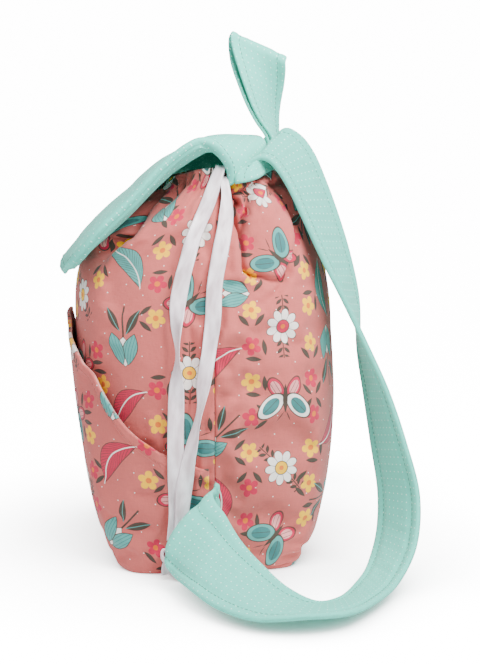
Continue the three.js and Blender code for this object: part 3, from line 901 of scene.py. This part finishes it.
def makeRibbon(name, rows, turnsOver):
    turn, up, over = (np.array(column, float) for column in zip(*rows))
    angle = np.radians(turnsOver)
    out = ribbon["clearance"] + ribbon["lift"] + over * ribbon["over"] + overPocket(turn, up)
    out = out + np.maximum(0, np.abs(np.sin(angle)) * ribbon["width"] / 2 - ribbon["clearance"])
    rim = np.array(rimRows)
    turn = np.concatenate([rim[:, 0] + ribbonRim[name], turn])
    up = np.concatenate([rim[:, 1], up])
    out = np.concatenate([rim[:, 2], out])
    angle = np.concatenate([np.zeros(len(rim)), angle])[:, None]
    around = onBag(turn + 2, up) - onBag(turn - 2, up)
    around[:, 2] = 0
    outward = unit(onBag(turn, up, 1) - onBag(turn, up, 0))
    across = unit(around) * np.cos(angle) + outward * np.sin(angle)
    spread = np.linspace(-0.5, 0.5, 17)
    down = np.linspace(-len(rim) / len(rows), 1, len(turn))
    wide = 1 - (1 - ribbon["topWidth"]) * smooth(0.12, -0.04, down) - (1 - ribbon["lowWidth"]) * smooth(0.84, 1, down)
    way = across * wide[:, None] * ribbon["width"] * mm
    controls = onBag(turn, up, out)[:, None] + way[:, None] * spread[:, None]
    surface, run = routed(controls, ribbon["pitch"] * mm)
    normal = gridNormals(surface)
    along = run[:, None] / mm
    cup = (0.5 - 2 * spread**2) * ribbon["cup"] * np.sin(along / 27 + len(name))
    waves = ribbon["waves"] * softNoise(61 + len(name), along / 13, spread[None, :] * 1.6)
    surface = surface + normal * ((cup + waves) * mm)[..., None]
    piece = strip(name + "_satin", surface, normal, run, spread, ribbon["width"], ribbon["thick"] / 2, ribbon["rim"])
    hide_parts(name)
    middle = surface[:, len(spread) // 2]
    return piece, np.concatenate([middle[::6], middle[-1:]]), run[-1]


knot = {
    "turn": 65.4, "up": 0.055, "across": 13, "thick": 11, "tall": 15, "band": 1.9, "flat": 0.62, "broad": 1.35,
    "steps": 120, "tail": 6.5, "tailHalf": 0.3, "tailRim": 0.5,
}
knotEnds = [  # how the two short ends hang from the knot's middle, in millimetres
    [(0, 0, -4), (3, -1, -8.4), (5, 2, -11), (9, 8, -12), (13, 15, -12.4)],
    [(1, -1, -2), (3.4, -2.2, -5), (4.6, -2.6, -8.5), (5.4, -2, -12)],
]


def makeKnot():  # an overhand knot with its two short ends
    out = pocket["standoff"] + pocket["thickness"] + knot["thick"] / 2 + 0.6
    middle = onBag(knot["turn"], knot["up"], out)
    steps = knot["steps"]
    deselect()
    bpy.ops.mesh.primitive_torus_add(major_segments=steps, minor_segments=12, major_radius=2.0, minor_radius=0.5)
    piece = bpy.context.object
    mesh = piece.data
    t = np.linspace(0, 2 * np.pi, steps + 1)[:steps]
    path = [np.sin(3 * t) * 0.95, (np.cos(t) - 2 * np.cos(2 * t)) / 3, (np.sin(t) + 2 * np.sin(2 * t)) / 3]
    half = np.array([knot["thick"], knot["across"], knot["tall"]]) / 2 - knot["band"]
    path = np.stack(path, -1) * half
    along = unit(np.roll(path, -1, 0) - np.roll(path, 1, 0))
    outward = unit(path - along * np.sum(path * along, -1, keepdims=True))
    side = np.cross(along, outward)
    x, y, z = verticesOf(mesh).T
    ring = np.rint(np.mod(np.arctan2(y, x), 2 * np.pi) / (2 * np.pi) * steps).astype(int) % steps
    level = (np.hypot(x, y) - 2.0) * 2 * knot["band"] * knot["flat"]
    broad = z * 2 * knot["band"] * knot["broad"]
    moved = path[ring] + outward[ring] * level[:, None] + side[ring] * broad[:, None]
    mesh.vertices.foreach_set("co", (moved * mm + middle).ravel())
    mapCloth(mesh, np.stack([ring * 0.4 * mm, z * 6 * mm], -1))
    piece.name = mesh.name = "ribbon_knot_satin"
    deselect()
    piece.select_set(True)
    bpy.ops.object.shade_smooth()
    belong(piece, satin)
    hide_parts("ribbon_knot")
    pieces = [piece]
    spread = np.linspace(-0.5, 0.5, 9)
    for number, places in enumerate(knotEnds):
        places = middle + np.array(places, float) * mm
        across = unit(np.cross(np.gradient(places, axis=0), np.array([1.0, 0.3, 0.6])))
        wide = np.linspace(0.55, 1, len(places))[:, None, None] * knot["tail"] * mm
        surface, run = routed(places[:, None] + across[:, None] * spread[:, None] * wide, 1.2 * mm)
        pieces.append(strip(f"ribbon_end_{number + 1}", surface, gridNormals(surface), run, spread, knot["tail"],
                            knot["tailHalf"], knot["tailRim"]))
    return pieces


print("laying the ribbons")
knotPieces = makeKnot()
for name, rows, tied in (("ribbon_front", ribbonFront, knotPieces), ("ribbon_back", ribbonBack, ())):
    piece, path, length = makeRibbon(name, rows, ribbonTwists[name])


# The cloth of the walls, settled by a simulation between its seams

settling = {"frames": 18, "growth": -0.035, "cap": 3.2, "pressure": 0.6}


def settleCloth():
    turns = np.linspace(-90, 270, fieldSteps["turn"] + 1)
    turn, up = np.meshgrid(turns, np.linspace(0, 1, fieldSteps["up"] + 1))
    rest = clothAt(turn, up)
    sheet = layer(rest, np.stack([turn, up], -1), 0)
    seams = (np.abs(turn - 90) < 0.1) | (turn < -89.9) | (turn > 269.9) | (up < 0.001) | (up > 0.999)
    sewn = (np.abs(np.abs(wrapped(turn)) - pocket["turn"]) < 2) & (up < 0.3)
    weight = np.where(seams, 1.0, np.where(sewn, 0.6, 0.05))
    placed = {tuple(point): k for k, point in enumerate(np.round(verticesOf(sheet.data), 6))}
    wanted = np.round(rest.reshape(-1, 3).astype(np.float32).astype(float), 6)
    index = np.array([placed.get(tuple(point), -1) for point in wanted])
    if (index < 0).any():
        index = np.arange(len(wanted))
    held = sheet.vertex_groups.new(name="held")
    for k, w in zip(index, weight.ravel()):
        held.add([int(k)], float(w), "REPLACE")
    cloth = sheet.modifiers.new("Cloth", "CLOTH")
    cloth.settings.quality = 6
    cloth.settings.mass = 0.2
    cloth.settings.tension_stiffness = cloth.settings.compression_stiffness = 20
    cloth.settings.shear_stiffness = 10
    cloth.settings.bending_stiffness = 0.8
    cloth.settings.vertex_group_mass = "held"
    cloth.settings.shrink_min = settling["growth"]
    cloth.settings.use_pressure = True
    cloth.settings.uniform_pressure_force = settling["pressure"]
    cloth.settings.effector_weights.gravity = 0
    cloth.collision_settings.use_collision = False
    scene = bpy.context.scene
    for number in range(1, settling["frames"] + 1):
        scene.frame_set(number)
    moved = verticesOf(sheet.evaluated_get(bpy.context.evaluated_depsgraph_get()).data)
    shift = moved[index].reshape(rest.shape) - rest
    scene.frame_set(1)
    bpy.data.objects.remove(sheet)
    size = np.linalg.norm(shift, axis=-1, keepdims=True)
    cap = settling["cap"] * mm
    most, mean = (round(float(value / mm), 2) for value in (size.max(), size.mean()))
    print("cloth moved at most", most, "mm, on average", mean)
    return shift * np.minimum(1, cap / np.maximum(size, 1e-9))


print("settling the walls")
settled["field"] = settleCloth()

# The two walls

wallGrid = {
    "columns": 200, "rows": 150, "edge": 2.2, "neck": 1.2, "foot": 1.4, "degree": 1.9,
    "seamGap": 0.25, "baseSeam": 1.1, "baseSeamUp": 3.2, "seamStep": 0.45,
}
footRows = [0, 0.0008, 0.003, 0.006, 0.0085, 0.0105, 0.0125, 0.015]
rimRowsUp = [0.994, 0.9975, 1]
girthTurns = np.arange(-90, 271)
girth = lengthAlong(onBag(girthTurns, 0.45)[:, :2])


def clothMap(turn, up):  # where the flat cloth lies on the bag, in metres
    return np.stack([np.interp(turn, girthTurns, girth), up * bag["height"] * 1.02 * mm], -1)


def makeWall(name, fromTurn, offset):
    seam = wallGrid["seamGap"] / 2 / (plan("wide", 0.5) * bag["width"] / 2) * 57.3
    marks = np.array([0, 0.06, 0.25, 0.6, 1.1, 1.8]) * wallGrid["seamStep"]
    plain = np.linspace(marks[-1] + 0.5, 180 - marks[-1] - 0.5, wallGrid["columns"])
    turns = np.concatenate([marks, plain, 180 - marks[::-1]])
    turns = fromTurn + seam + turns * (180 - 2 * seam) / 180
    ups = np.concatenate([footRows, np.linspace(0.019, 0.99, wallGrid["rows"]), rimRowsUp])
    turn, up = np.meshgrid(turns, ups)
    fromSeam = np.minimum(turn - turns[0], turns[-1] - turn) * wallGrid["degree"]
    fromRim = (1 - up) * bag["height"]
    fromFloor = up * bag["height"]
    edge = roundEdge(fromSeam, wallGrid["edge"]) * roundEdge(fromRim, wallGrid["neck"])
    edge = edge * roundEdge(fromFloor, wallGrid["foot"])
    half = bag["cloth"] / 2
    groove = wallGrid["baseSeam"] * bump(fromFloor - wallGrid["baseSeamUp"], 0.9)
    outer = clothAt(turn, up, -half + half * edge - groove)
    inner = clothAt(turn, up, -half - half * edge)
    mapped = clothMap(turn, up) + np.array(offset)
    piece = closedCloth(name + "_cloth", outer, inner, mapped, pinkPrint, paintedFoldShade(turn, up))
    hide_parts(name)


print("making the walls")
makeWall("body_front", -90, (0.011, 0.004))
makeWall("body_back", 90, (0.037, 0.023))


# The base inside them, a stiffened pad

base = {"thickness": 3, "clearance": 2.8, "reach": 80, "quilt": 0.12, "quiltStep": 4.2}


def makeBase():
    spokes = np.linspace(0, 1, 26) ** 0.7
    turn, share = np.meshgrid(np.linspace(-180, 180, 145), spokes)
    rim = onBag(turn, 0, -base["clearance"])
    flat = rim * share[..., None]
    fromEdge = (1 - share) * base["reach"]
    lift = base["thickness"] / 2 * roundEdge(fromEdge, 1.5) * mm
    x, y = (np.cos(flat[..., k] / mm / base["quiltStep"]) for k in (0, 1))
    quilt = base["quilt"] * mm * x * y * roundEdge(fromEdge, 12)
    top, low = flat.copy(), flat.copy()
    top[..., 2] = base["thickness"] / 2 * mm + lift + quilt
    low[..., 2] = base["thickness"] / 2 * mm - lift
    piece = closedCloth("base_panel_cloth", top, low, flat[..., :2], pinkPrint)
    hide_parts("base_panel")


makeBase()


# The pocket over the front, with its turned and stitched hem


def pocketPlaces(turn, share, fromTop):
    up = pocketTop(turn) * share
    hem = pocket["hem"] * smooth(pocket["hemWide"] + 0.8, pocket["hemWide"] - 0.4, fromTop)
    dip = 0.45 * bump(fromTop - pocket["hemWide"] + 1.2, 1.1)
    sag = 0.7 * softNoise(21, turn / 14, share * 5) * smooth(0, 0.25, share)
    wave = 0.8 * softNoise(22, turn / 9, share * 1.5) * smooth(0.75, 1, share)
    loose = smooth(4, 26, pocket["turn"] - np.abs(turn))
    return up, pocketSpace(turn, share) + (sag * 0.4 + wave) * loose + 0.3, pocket["thickness"] + hem, dip


def makePocket():
    length = 2 * pocket["turn"] * pocket["degree"]
    turns = edgeSpaced(length, length / pocket["columns"]) / pocket["degree"] - pocket["turn"]
    shares = np.concatenate([[0, 0.002, 0.008, 0.02], np.linspace(0.03, 0.9, pocket["rows"]),
                             np.linspace(0.905, 0.99, pocket["hemRows"]), [0.9935, 0.9965, 0.9985, 1]])
    turn, share = np.meshgrid(turns, shares)
    fromTop = (1 - share) * pocketTop(turn) * bag["height"]
    up, space, thick, dip = pocketPlaces(turn, share, fromTop)
    fromSide = (pocket["turn"] - np.abs(turn)) * pocket["degree"]
    edge = roundEdge(fromTop, 1.3) * roundEdge(fromSide, 1.2) * roundEdge(share * 60, 1.2)
    half = thick / 2
    outer = clothAt(turn, up, space + half + half * edge - dip)
    inner = clothAt(turn, up, space + half - half * edge)
    mapped = clothMap(turn, up) @ np.array([[0.9994, 0.035], [-0.035, 0.9994]]) + np.array([0.021, 0.031])
    piece = closedCloth("front_pocket_cloth", outer, inner, mapped, pinkPrint)
    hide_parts("front_pocket")
    line = np.linspace(-pocket["turn"] + 1, pocket["turn"] - 1, 300)
    deep = pocket["hemWide"] - pocket["seam"]
    share = 1 - deep / (pocketTop(line) * bag["height"])
    up, space, thick, dip = pocketPlaces(line, share, np.full_like(line, deep))
    outward = clothAt(line, up, space + thick + 1) - clothAt(line, up, space + thick)
    rows = [(clothAt(line, up, space + thick - dip), outward)]
    stitchRows("front_pocket_stitches", rows, pinkThread)


print("making the pocket")
makePocket()


# The flap: two layers of mint cotton over wadding

flap = {
    "thickness": 6, "farDroop": 24, "lap": 7, "lapOut": 4.5, "rootTurn": 97, "cornerStart": 0.74,
    "frontShare": 0.58, "seat": 0.1, "sideRise": 0.67, "edge": 3.4, "swell": 1.0, "seamIn": 1.1, "seamDeep": 0.7,
    "curlUp": 3.5, "curlDip": 4.5, "gridWide": 190, "gridLong": 222, "stitched": 6.5,
}
flapShares = {
    "share": [0, 0.07, 0.15, 0.26, 0.38, 0.5, 0.64, 0.78, 0.9, 1],
    "middleDeep": [0.358, 0.333, 0.25, 0.075, -0.083, -0.267, -0.45, -0.642, -0.783, -0.858],
    "middleTall": [1.028, 1.045, 1.049, 1.045, 1.021, 0.979, 0.909, 0.839, 0.773, 0.727],
    "edgeWide": [0.4, 0.42, 0.44, 0.46, 0.475, 0.475, 0.475, 0.475, 0.475, 0.475],
    "edgeDeep": [0.075, 0.058, 0.025, -0.05, -0.142, -0.292, -0.458, -0.633, -0.758, -0.817],
    "edgeTall": [0.951, 0.983, 1.01, 1.021, 1.003, 0.951, 0.878, 0.808, 0.752, 0.72],
}


def flapPoint(share, t):
    side = np.abs(t)
    cut = np.clip((share - flap["cornerStart"]) / (1 - flap["cornerStart"]), 0, 1)
    narrow = 1 - (1 - flap["frontShare"]) * (1 - np.sqrt(1 - cut * cut))
    row = {key: curveThrough(flapShares["share"], values, share) for key, values in flapShares.items()}
    droop = np.where(t < 0, flap["farDroop"] * smooth(0.05, 0.25, share) * (1 - smooth(0.4, 0.8, share)), 0)
    deep = row["middleDeep"] + (row["edgeDeep"] - row["middleDeep"]) * side**2.4
    tall = row["middleTall"] + (row["edgeTall"] - row["middleTall"]) * side**2.2
    curl = flap["curlUp"] * smooth(0.86, 1, t) - flap["curlDip"] * bump(t - 0.84, 0.1)
    curl = curl * smooth(0.1, 0.35, share) * (1 - smooth(0.74, 0.96, share))
    free = np.stack([row["edgeWide"] * bag["width"] * t * narrow, deep * bag["depth"],
                     tall * bag["height"] - droop * side**2.2 + curl], -1) * mm
    lap = bump(t - 1, 0.16) * (1 - smooth(0.1, 0.3, share))
    root = onBag(180 - (180 - flap["rootTurn"]) * t, 1, -bag["cloth"] / 2 + flap["lapOut"] * lap)
    sideRise = flap["sideRise"] * smooth(0, 0.12, share) * side
    middleRise = (row["middleTall"] - flapShares["middleTall"][0]) * bag["height"]
    root[..., 2] += (flap["thickness"] * (flap["seat"] + sideRise) + middleRise - flap["lap"] * lap) * mm
    part = smooth(0.02, 0.3, share)[..., None]
    return root * (1 - part) + free * part


def makeFlap():
    marks = (0, 0.06, 0.25, 0.55, 0.9, 1.3, 1.75, 2.3, 3.1, 4.2, 5.6)
    across = edgeSpaced(flap["gridWide"], 1.9, marks)
    along = edgeSpaced(flap["gridLong"], 2.0, marks)
    t, share = np.meshgrid(across / flap["gridWide"] * 2 - 1, along / flap["gridLong"])
    middle = flapPoint(share, t)
    normal = gridNormals(middle)
    run, spread = lengthAlong(middle, 0), lengthAlong(middle, 1)
    fromSide = np.minimum(spread, spread[:, -1:] - spread) / mm
    fromFront = (run[-1:] - run) / mm
    fromBack = run / mm
    fromEdge = np.minimum(fromSide, fromFront)
    edge = roundEdge(fromEdge, flap["edge"]) * roundEdge(fromBack, 2)
    slack = 0.5 * softNoise(31, spread / mm / 26, run / mm / 30)
    slack = slack + 0.22 * softNoise(32, spread / mm / 9, run / mm / 8)
    pucker = 0.28 * softNoise(33, (spread + run) / mm / 5.5, fromEdge / 7) * bump(fromEdge - 4, 6)
    seam = 0.35 * bump(fromEdge - flap["stitched"], 1.6)
    full = flap["swell"] * bump(fromEdge - flap["edge"] - 1, 4.5)
    half = (flap["thickness"] / 2 - seam + full) * edge
    bound = flap["seamDeep"] * bump(fromEdge - flap["seamIn"], 0.45)
    lift = (slack + pucker) * roundEdge(fromEdge, 8)
    top = middle + normal * ((half + lift) * mm)[..., None]
    low = middle - normal * ((half - lift - bound) * mm)[..., None]
    radius = flap["edge"] * mm
    mapped = np.stack([unrolled(spread, spread[:, -1:], radius), unrolled(run, run[-1:], radius)], -1)
    piece = closedCloth("flap_padded", top, low, mapped, mint)
    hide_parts("flap")
    columns = [nearest(across, at) for at in (flap["stitched"], flap["gridWide"] - flap["stitched"])]
    row = nearest(along, flap["gridLong"] - flap["stitched"])
    lines = [(top[14:-14, k], normal[14:-14, k]) for k in columns] + [(top[row, 14:-14], normal[row, 14:-14])]
    stitchRows("flap_stitches", lines, mintThread)


print("making the flap")
makeFlap()

# The shoulder straps

strap = {
    "width": 52, "thickness": 4.5, "stub": 8, "clearance": 2, "pitch": 2.2, "seam": 8, "bead": 1.9,
    "pinch": 0.95, "end": 2, "unsewn": 4, "rootGap": 0.3, "rootOver": 6, "rootTurn": 124.5, "rootSpan": 45,
    "footTurn": 90.5, "footUp": 0.137, "creaseTop": 0.5, "creaseLow": 1.5,
    "bow": [3, 7, 11, 9, 4],  # how far the last rows bulge forward in their middle
}
strapRoot = [(0.975, 0.52), (1.0, 0.72)]
nearStrap = [  # wide, deep, tall, heading and dip of the way across
    (0.26, 0.383, 1.028, -30, -25), (0.265, 0.45, 1.017, -35, -21), (0.275, 0.512, 0.986, -38, -14),
    (0.29, 0.579, 0.93, -39, -4), (0.315, 0.658, 0.846, -38, 2), (0.345, 0.742, 0.748, -32, 3),
    (0.38, 0.817, 0.65, -22, 6), (0.415, 0.883, 0.531, -4, 8), (0.45, 0.95, 0.427, 7, 9),
    (0.5, 1.008, 0.308, 15, 11), (0.56, 1.05, 0.192, 20, 9), (0.63, 1.017, 0.098, 18, 4),
    (0.725, 0.917, 0.038, 11, 3), (0.88, 0.767, 0.024, 3, 5), (1.01, 0.6, 0.024, -4, 9),
    (1.05, 0.425, 0.028, -17, 9), (1.025, 0.233, 0.038, -29, -4), (0.94, 0.083, 0.059, -40, -16),
    (0.815, -0.033, 0.084, -48, -27), (0.7, -0.108, 0.108, -76, -46), (0.66, -0.142, 0.126, -75, -50),
    (0.625, -0.125, 0.133, -77, -60), (0.598, -0.058, 0.129, -88, -76),
]
farStrap = [
    (-0.26, 0.383, 1.028, 210, -25), (-0.27, 0.45, 1.014, 215, -21), (-0.295, 0.512, 0.983, 218, -14),
    (-0.34, 0.567, 0.923, 219, -4), (-0.415, 0.617, 0.825, 218, 2), (-0.495, 0.658, 0.717, 214, 3),
    (-0.57, 0.692, 0.605, 208, 6), (-0.64, 0.725, 0.493, 200, 8), (-0.71, 0.75, 0.381, 192, 9),
    (-0.79, 0.758, 0.269, 186, 11), (-0.89, 0.742, 0.164, 182, 9), (-1.015, 0.675, 0.084, 180, 4),
    (-1.14, 0.542, 0.038, 182, 3), (-1.215, 0.367, 0.028, 188, 6), (-1.2, 0.167, 0.031, 200, 6),
    (-1.11, 0.017, 0.042, 212, -4), (-0.98, -0.075, 0.059, 222, -16), (-0.83, -0.108, 0.084, 230, -29),
    (-0.7, -0.108, 0.108, 254, -46), (-0.64, -0.1, 0.126, 262, -60),
]


def bandProfile(band, fromEdge):  # half the thickness: a bead, a stitched line, the filling
    seam, bead, pinch = band["seam"], band["bead"], band["pinch"]
    filled = pinch + (band["thickness"] / 2 - pinch) * smooth(seam + 0.6, seam + 6, fromEdge)
    hem = pinch + (bead - pinch) * smooth(seam - 0.7, seam - 3, fromEdge)
    return np.where(fromEdge < seam, hem, filled) * roundEdge(fromEdge, bead)


def acrossBand(band):  # closer at the edges and at the stitched lines
    seam, width = band["seam"], band["width"]
    hem = np.array([0, 0.1, 0.4, 0.9, 1.6, 2.6, 4, 5.6])
    side = np.concatenate([hem, seam + np.array([-1.1, -0.4, 0, 0.5, 1.4, 3, 5])])
    middle = np.linspace(seam + 7, width - seam - 7, max(2, int((width - 2 * seam - 14) / 2) + 1))
    return np.concatenate([side, middle, width - side[::-1]])


def bandShape(band, controls, across):  # the band's own measures: along it, across it, from its edge
    surface, run = routed(np.array(controls), band["pitch"] * mm)
    s, x = np.meshgrid(run / mm, across, indexing="ij")
    fromEdge = np.minimum(across, band["width"] - across)
    half = bandProfile(band, fromEdge) * roundEdge(np.minimum(s, s[-1:] - s), band["end"])
    return surface, s, x, fromEdge, half


def bandCloth(band, name, surface, s, x, top, low):  # the closed band, and the lines it is stitched along
    normal = gridNormals(surface)
    outer = surface + normal * (top * mm)[..., None]
    inner = surface - normal * (low * mm)[..., None]
    mapped = np.stack([s, unrolled(x, band["width"], band["bead"])], -1) * mm
    piece = closedCloth(name, outer, inner, mapped, mint)
    columns = [nearest(x[0], at) for at in (band["seam"], band["width"] - band["seam"])]
    part = slice(band["unsewn"], -band["unsewn"])
    sides = ((outer, normal), (inner, -normal))
    return piece, [(cloth[part, k], out[part, k]) for cloth, out in sides for k in columns]


def makeStrap(name, rows, side):
    across = acrossBand(strap)
    t = across / strap["width"] - 0.5
    rootTurn = 180 - side * (180 - strap["rootTurn"] + t * strap["rootSpan"])
    rootOut = strap["thickness"] / 2 + strap["rootGap"]
    root = [onBag(rootTurn, up, rootOut + over * strap["rootOver"]) for up, over in strapRoot]
    free = [
        (np.array([wide * bag["width"], deep * bag["depth"], tall * bag["height"]])
         + t[:, None] * direction(heading, dip) * strap["width"]) * mm
        for wide, deep, tall, heading, dip in rows
    ]
    for row, bow in zip(free[-len(strap["bow"]):], strap["bow"]):
        row[:, 1] -= bow * (1 - (2 * t)**2) * mm
    sewn = [
        onBag(side * strap["footTurn"], strap["footUp"] - t * strap["width"] / bag["height"], out)
        for out in (strap["stub"], strap["clearance"])
    ]
    surface, s, x, fromEdge, half = bandShape(strap, root + free + sewn, across)
    between = smooth(strap["seam"] - 1, strap["seam"] + 6, fromEdge)
    creases = np.abs(softNoise(41 + side, s / 6.5 + 0.8 * softNoise(43, s / 30, x / 30), x / 34))
    soft = 0.4 * softNoise(45 + side, s / 24, x / 24)
    pucker = softNoise(47 + side, s / 4.2, x / 9) * bump(fromEdge - strap["seam"], 3.2) * roundEdge(fromEdge, 3)
    top = half + (soft - strap["creaseTop"] * creases) * between + 0.13 * pucker
    low = half + (soft - strap["creaseLow"] * creases) * between + 0.16 * pucker
    top, low = (np.where(half > 0, side, 0) for side in (top, low))
    piece, lines = bandCloth(strap, name + "_padded", surface, s, x, top, low)
    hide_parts(name)
    stitchRows(name + "_stitches", lines, mintThread)


print("making the straps")
makeStrap("strap_right", nearStrap, 1)
makeStrap("strap_left", farStrap, -1)


# The hanging loop, one band folded in half

loop = {
    "width": 45, "height": 78, "thickness": 2.4, "space": 8, "foldRadius": 3.4, "clearance": 3.3,
    "pitch": 1.6, "seam": 7, "bead": 1.25, "pinch": 0.65, "end": 1.2, "unsewn": 6,
}
loopRows = [  # deep, tall, heading, dip, space
    (0, -0.064, -3, 0, 0.1), (0, 0.103, -13, 2, 0.12), (-0.045, 0.231, -24, 5, 0.14),
    (-0.085, 0.359, -33, 9, 0.2), (-0.115, 0.513, -44, 14, 0.34), (-0.137, 0.705, -63, 20, 0.62),
    (-0.143, 0.859, -82, 23, 0.86), (-0.143, 0.936, -88, 24, 0.9),
]


def makeLoop():
    across = acrossBand(loop)
    t = across / loop["width"] - 0.5
    seam = onBag(180, 1, (flap["thickness"] - bag["cloth"]) / 2 + loop["thickness"] + loop["clearance"])

    def layerRow(row, way, lift=0.0):
        deep, tall, heading, dip, space = row
        wide = direction(heading, dip)
        rise = unit(np.array([0, 0, 1.0]) - wide * wide[2])
        out = np.cross(rise, wide) * way * (space * loop["space"] + loop["thickness"]) / 2
        middle = seam + (np.array([0, deep, tall]) * loop["height"] + out + rise * lift) * mm
        return middle + t[:, None] * wide * loop["width"] * mm

    rising = [layerRow(row, 1) for row in loopRows]
    falling = [layerRow(row, -1) for row in loopRows][::-1]
    fold = [
        layerRow(loopRows[-1], way, loop["foldRadius"] * (1 - way * way) ** 0.5)
        for way in (0.7, 0, -0.7)
    ]
    surface, s, x, fromEdge, half = bandShape(loop, rising + fold + falling, across)
    soft = 0.35 * softNoise(51, s / 18, x / 15) * smooth(0, 6, fromEdge)
    pucker = 0.1 * softNoise(52, s / 4, x / 8) * bump(fromEdge - loop["seam"], 3)
    lift = (soft + pucker) * (half > 0)
    piece, lines = bandCloth(loop, "handle_loop_cloth", surface, s, x, half + lift, half - lift)
    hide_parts("handle_loop")
    stitchRows("handle_loop_stitches", lines, mintThread)


print("making the loop")
makeLoop()

# The floor, the light and the surroundings

studio = {
    "floor": paint(246, 246, 247), "glow": 15.0, "bounce": 0.3, "shadow": 0.16, "world": 0.25,
    "key": 13, "fill": 1.1, "top": 22,
}


def makeStudio():
    deselect()
    bpy.ops.mesh.primitive_circle_add(vertices=96, radius=9, fill_type="NGON", location=(0, 0, 0))
    floor = bpy.context.object
    floor.name = "studio_floor"
    material, tree, shader = newMaterial("pale_floor")
    seen = add(tree, "LightPath").outputs["Is Camera Ray"]
    # Painted shadow: the floor's glow for the camera is darkened by ambient occlusion near the bag, a contact shadow
    clear = add(tree, "AmbientOcclusion", {"Distance": studio["shadow"]}, samples=16).outputs["AO"]
    glow = times(calc("POWER", clear, 2.0), studio["glow"])
    shown = plus(times(seen, glow), times(minus(1.0, seen), studio["bounce"]))
    wire(shader, {"Base Color": studio["floor"], "Roughness": 0.7, "Specular IOR Level": 0.1,
                  "Emission Color": (1, 1, 1, 1), "Emission Strength": shown})
    floor.data.materials.append(material)
    lights = [
        ("key", (0.75, -1.05, 1.4), 0.8, studio["key"]),
        ("fill", (1.4, -0.5, 0.3), 0.9, studio["fill"]),
        ("top", (0.42, 0.3, 0.84), 0.55, studio["top"]),
    ]
    for name, where, size, power in lights:
        bpy.ops.object.light_add(type="AREA", location=where)
        light = bpy.context.object
        light.name = name + "_light"
        light.data.size = size
        light.data.energy = power
        light.rotation_euler = (Vector((0, 0, 0.15)) - Vector(where)).to_track_quat("-Z", "Y").to_euler()
    world = bpy.data.worlds.new("studio")
    bpy.context.scene.world = world
    world.use_nodes = True
    tree = world.node_tree
    seen = add(tree, "LightPath").outputs["Is Camera Ray"]
    strength = ranged(seen, 0, 1, studio["world"], studio["glow"])
    wire(tree.nodes["Background"], {0: (1, 1, 1, 1), 1: strength})


makeStudio()

print("scene made")
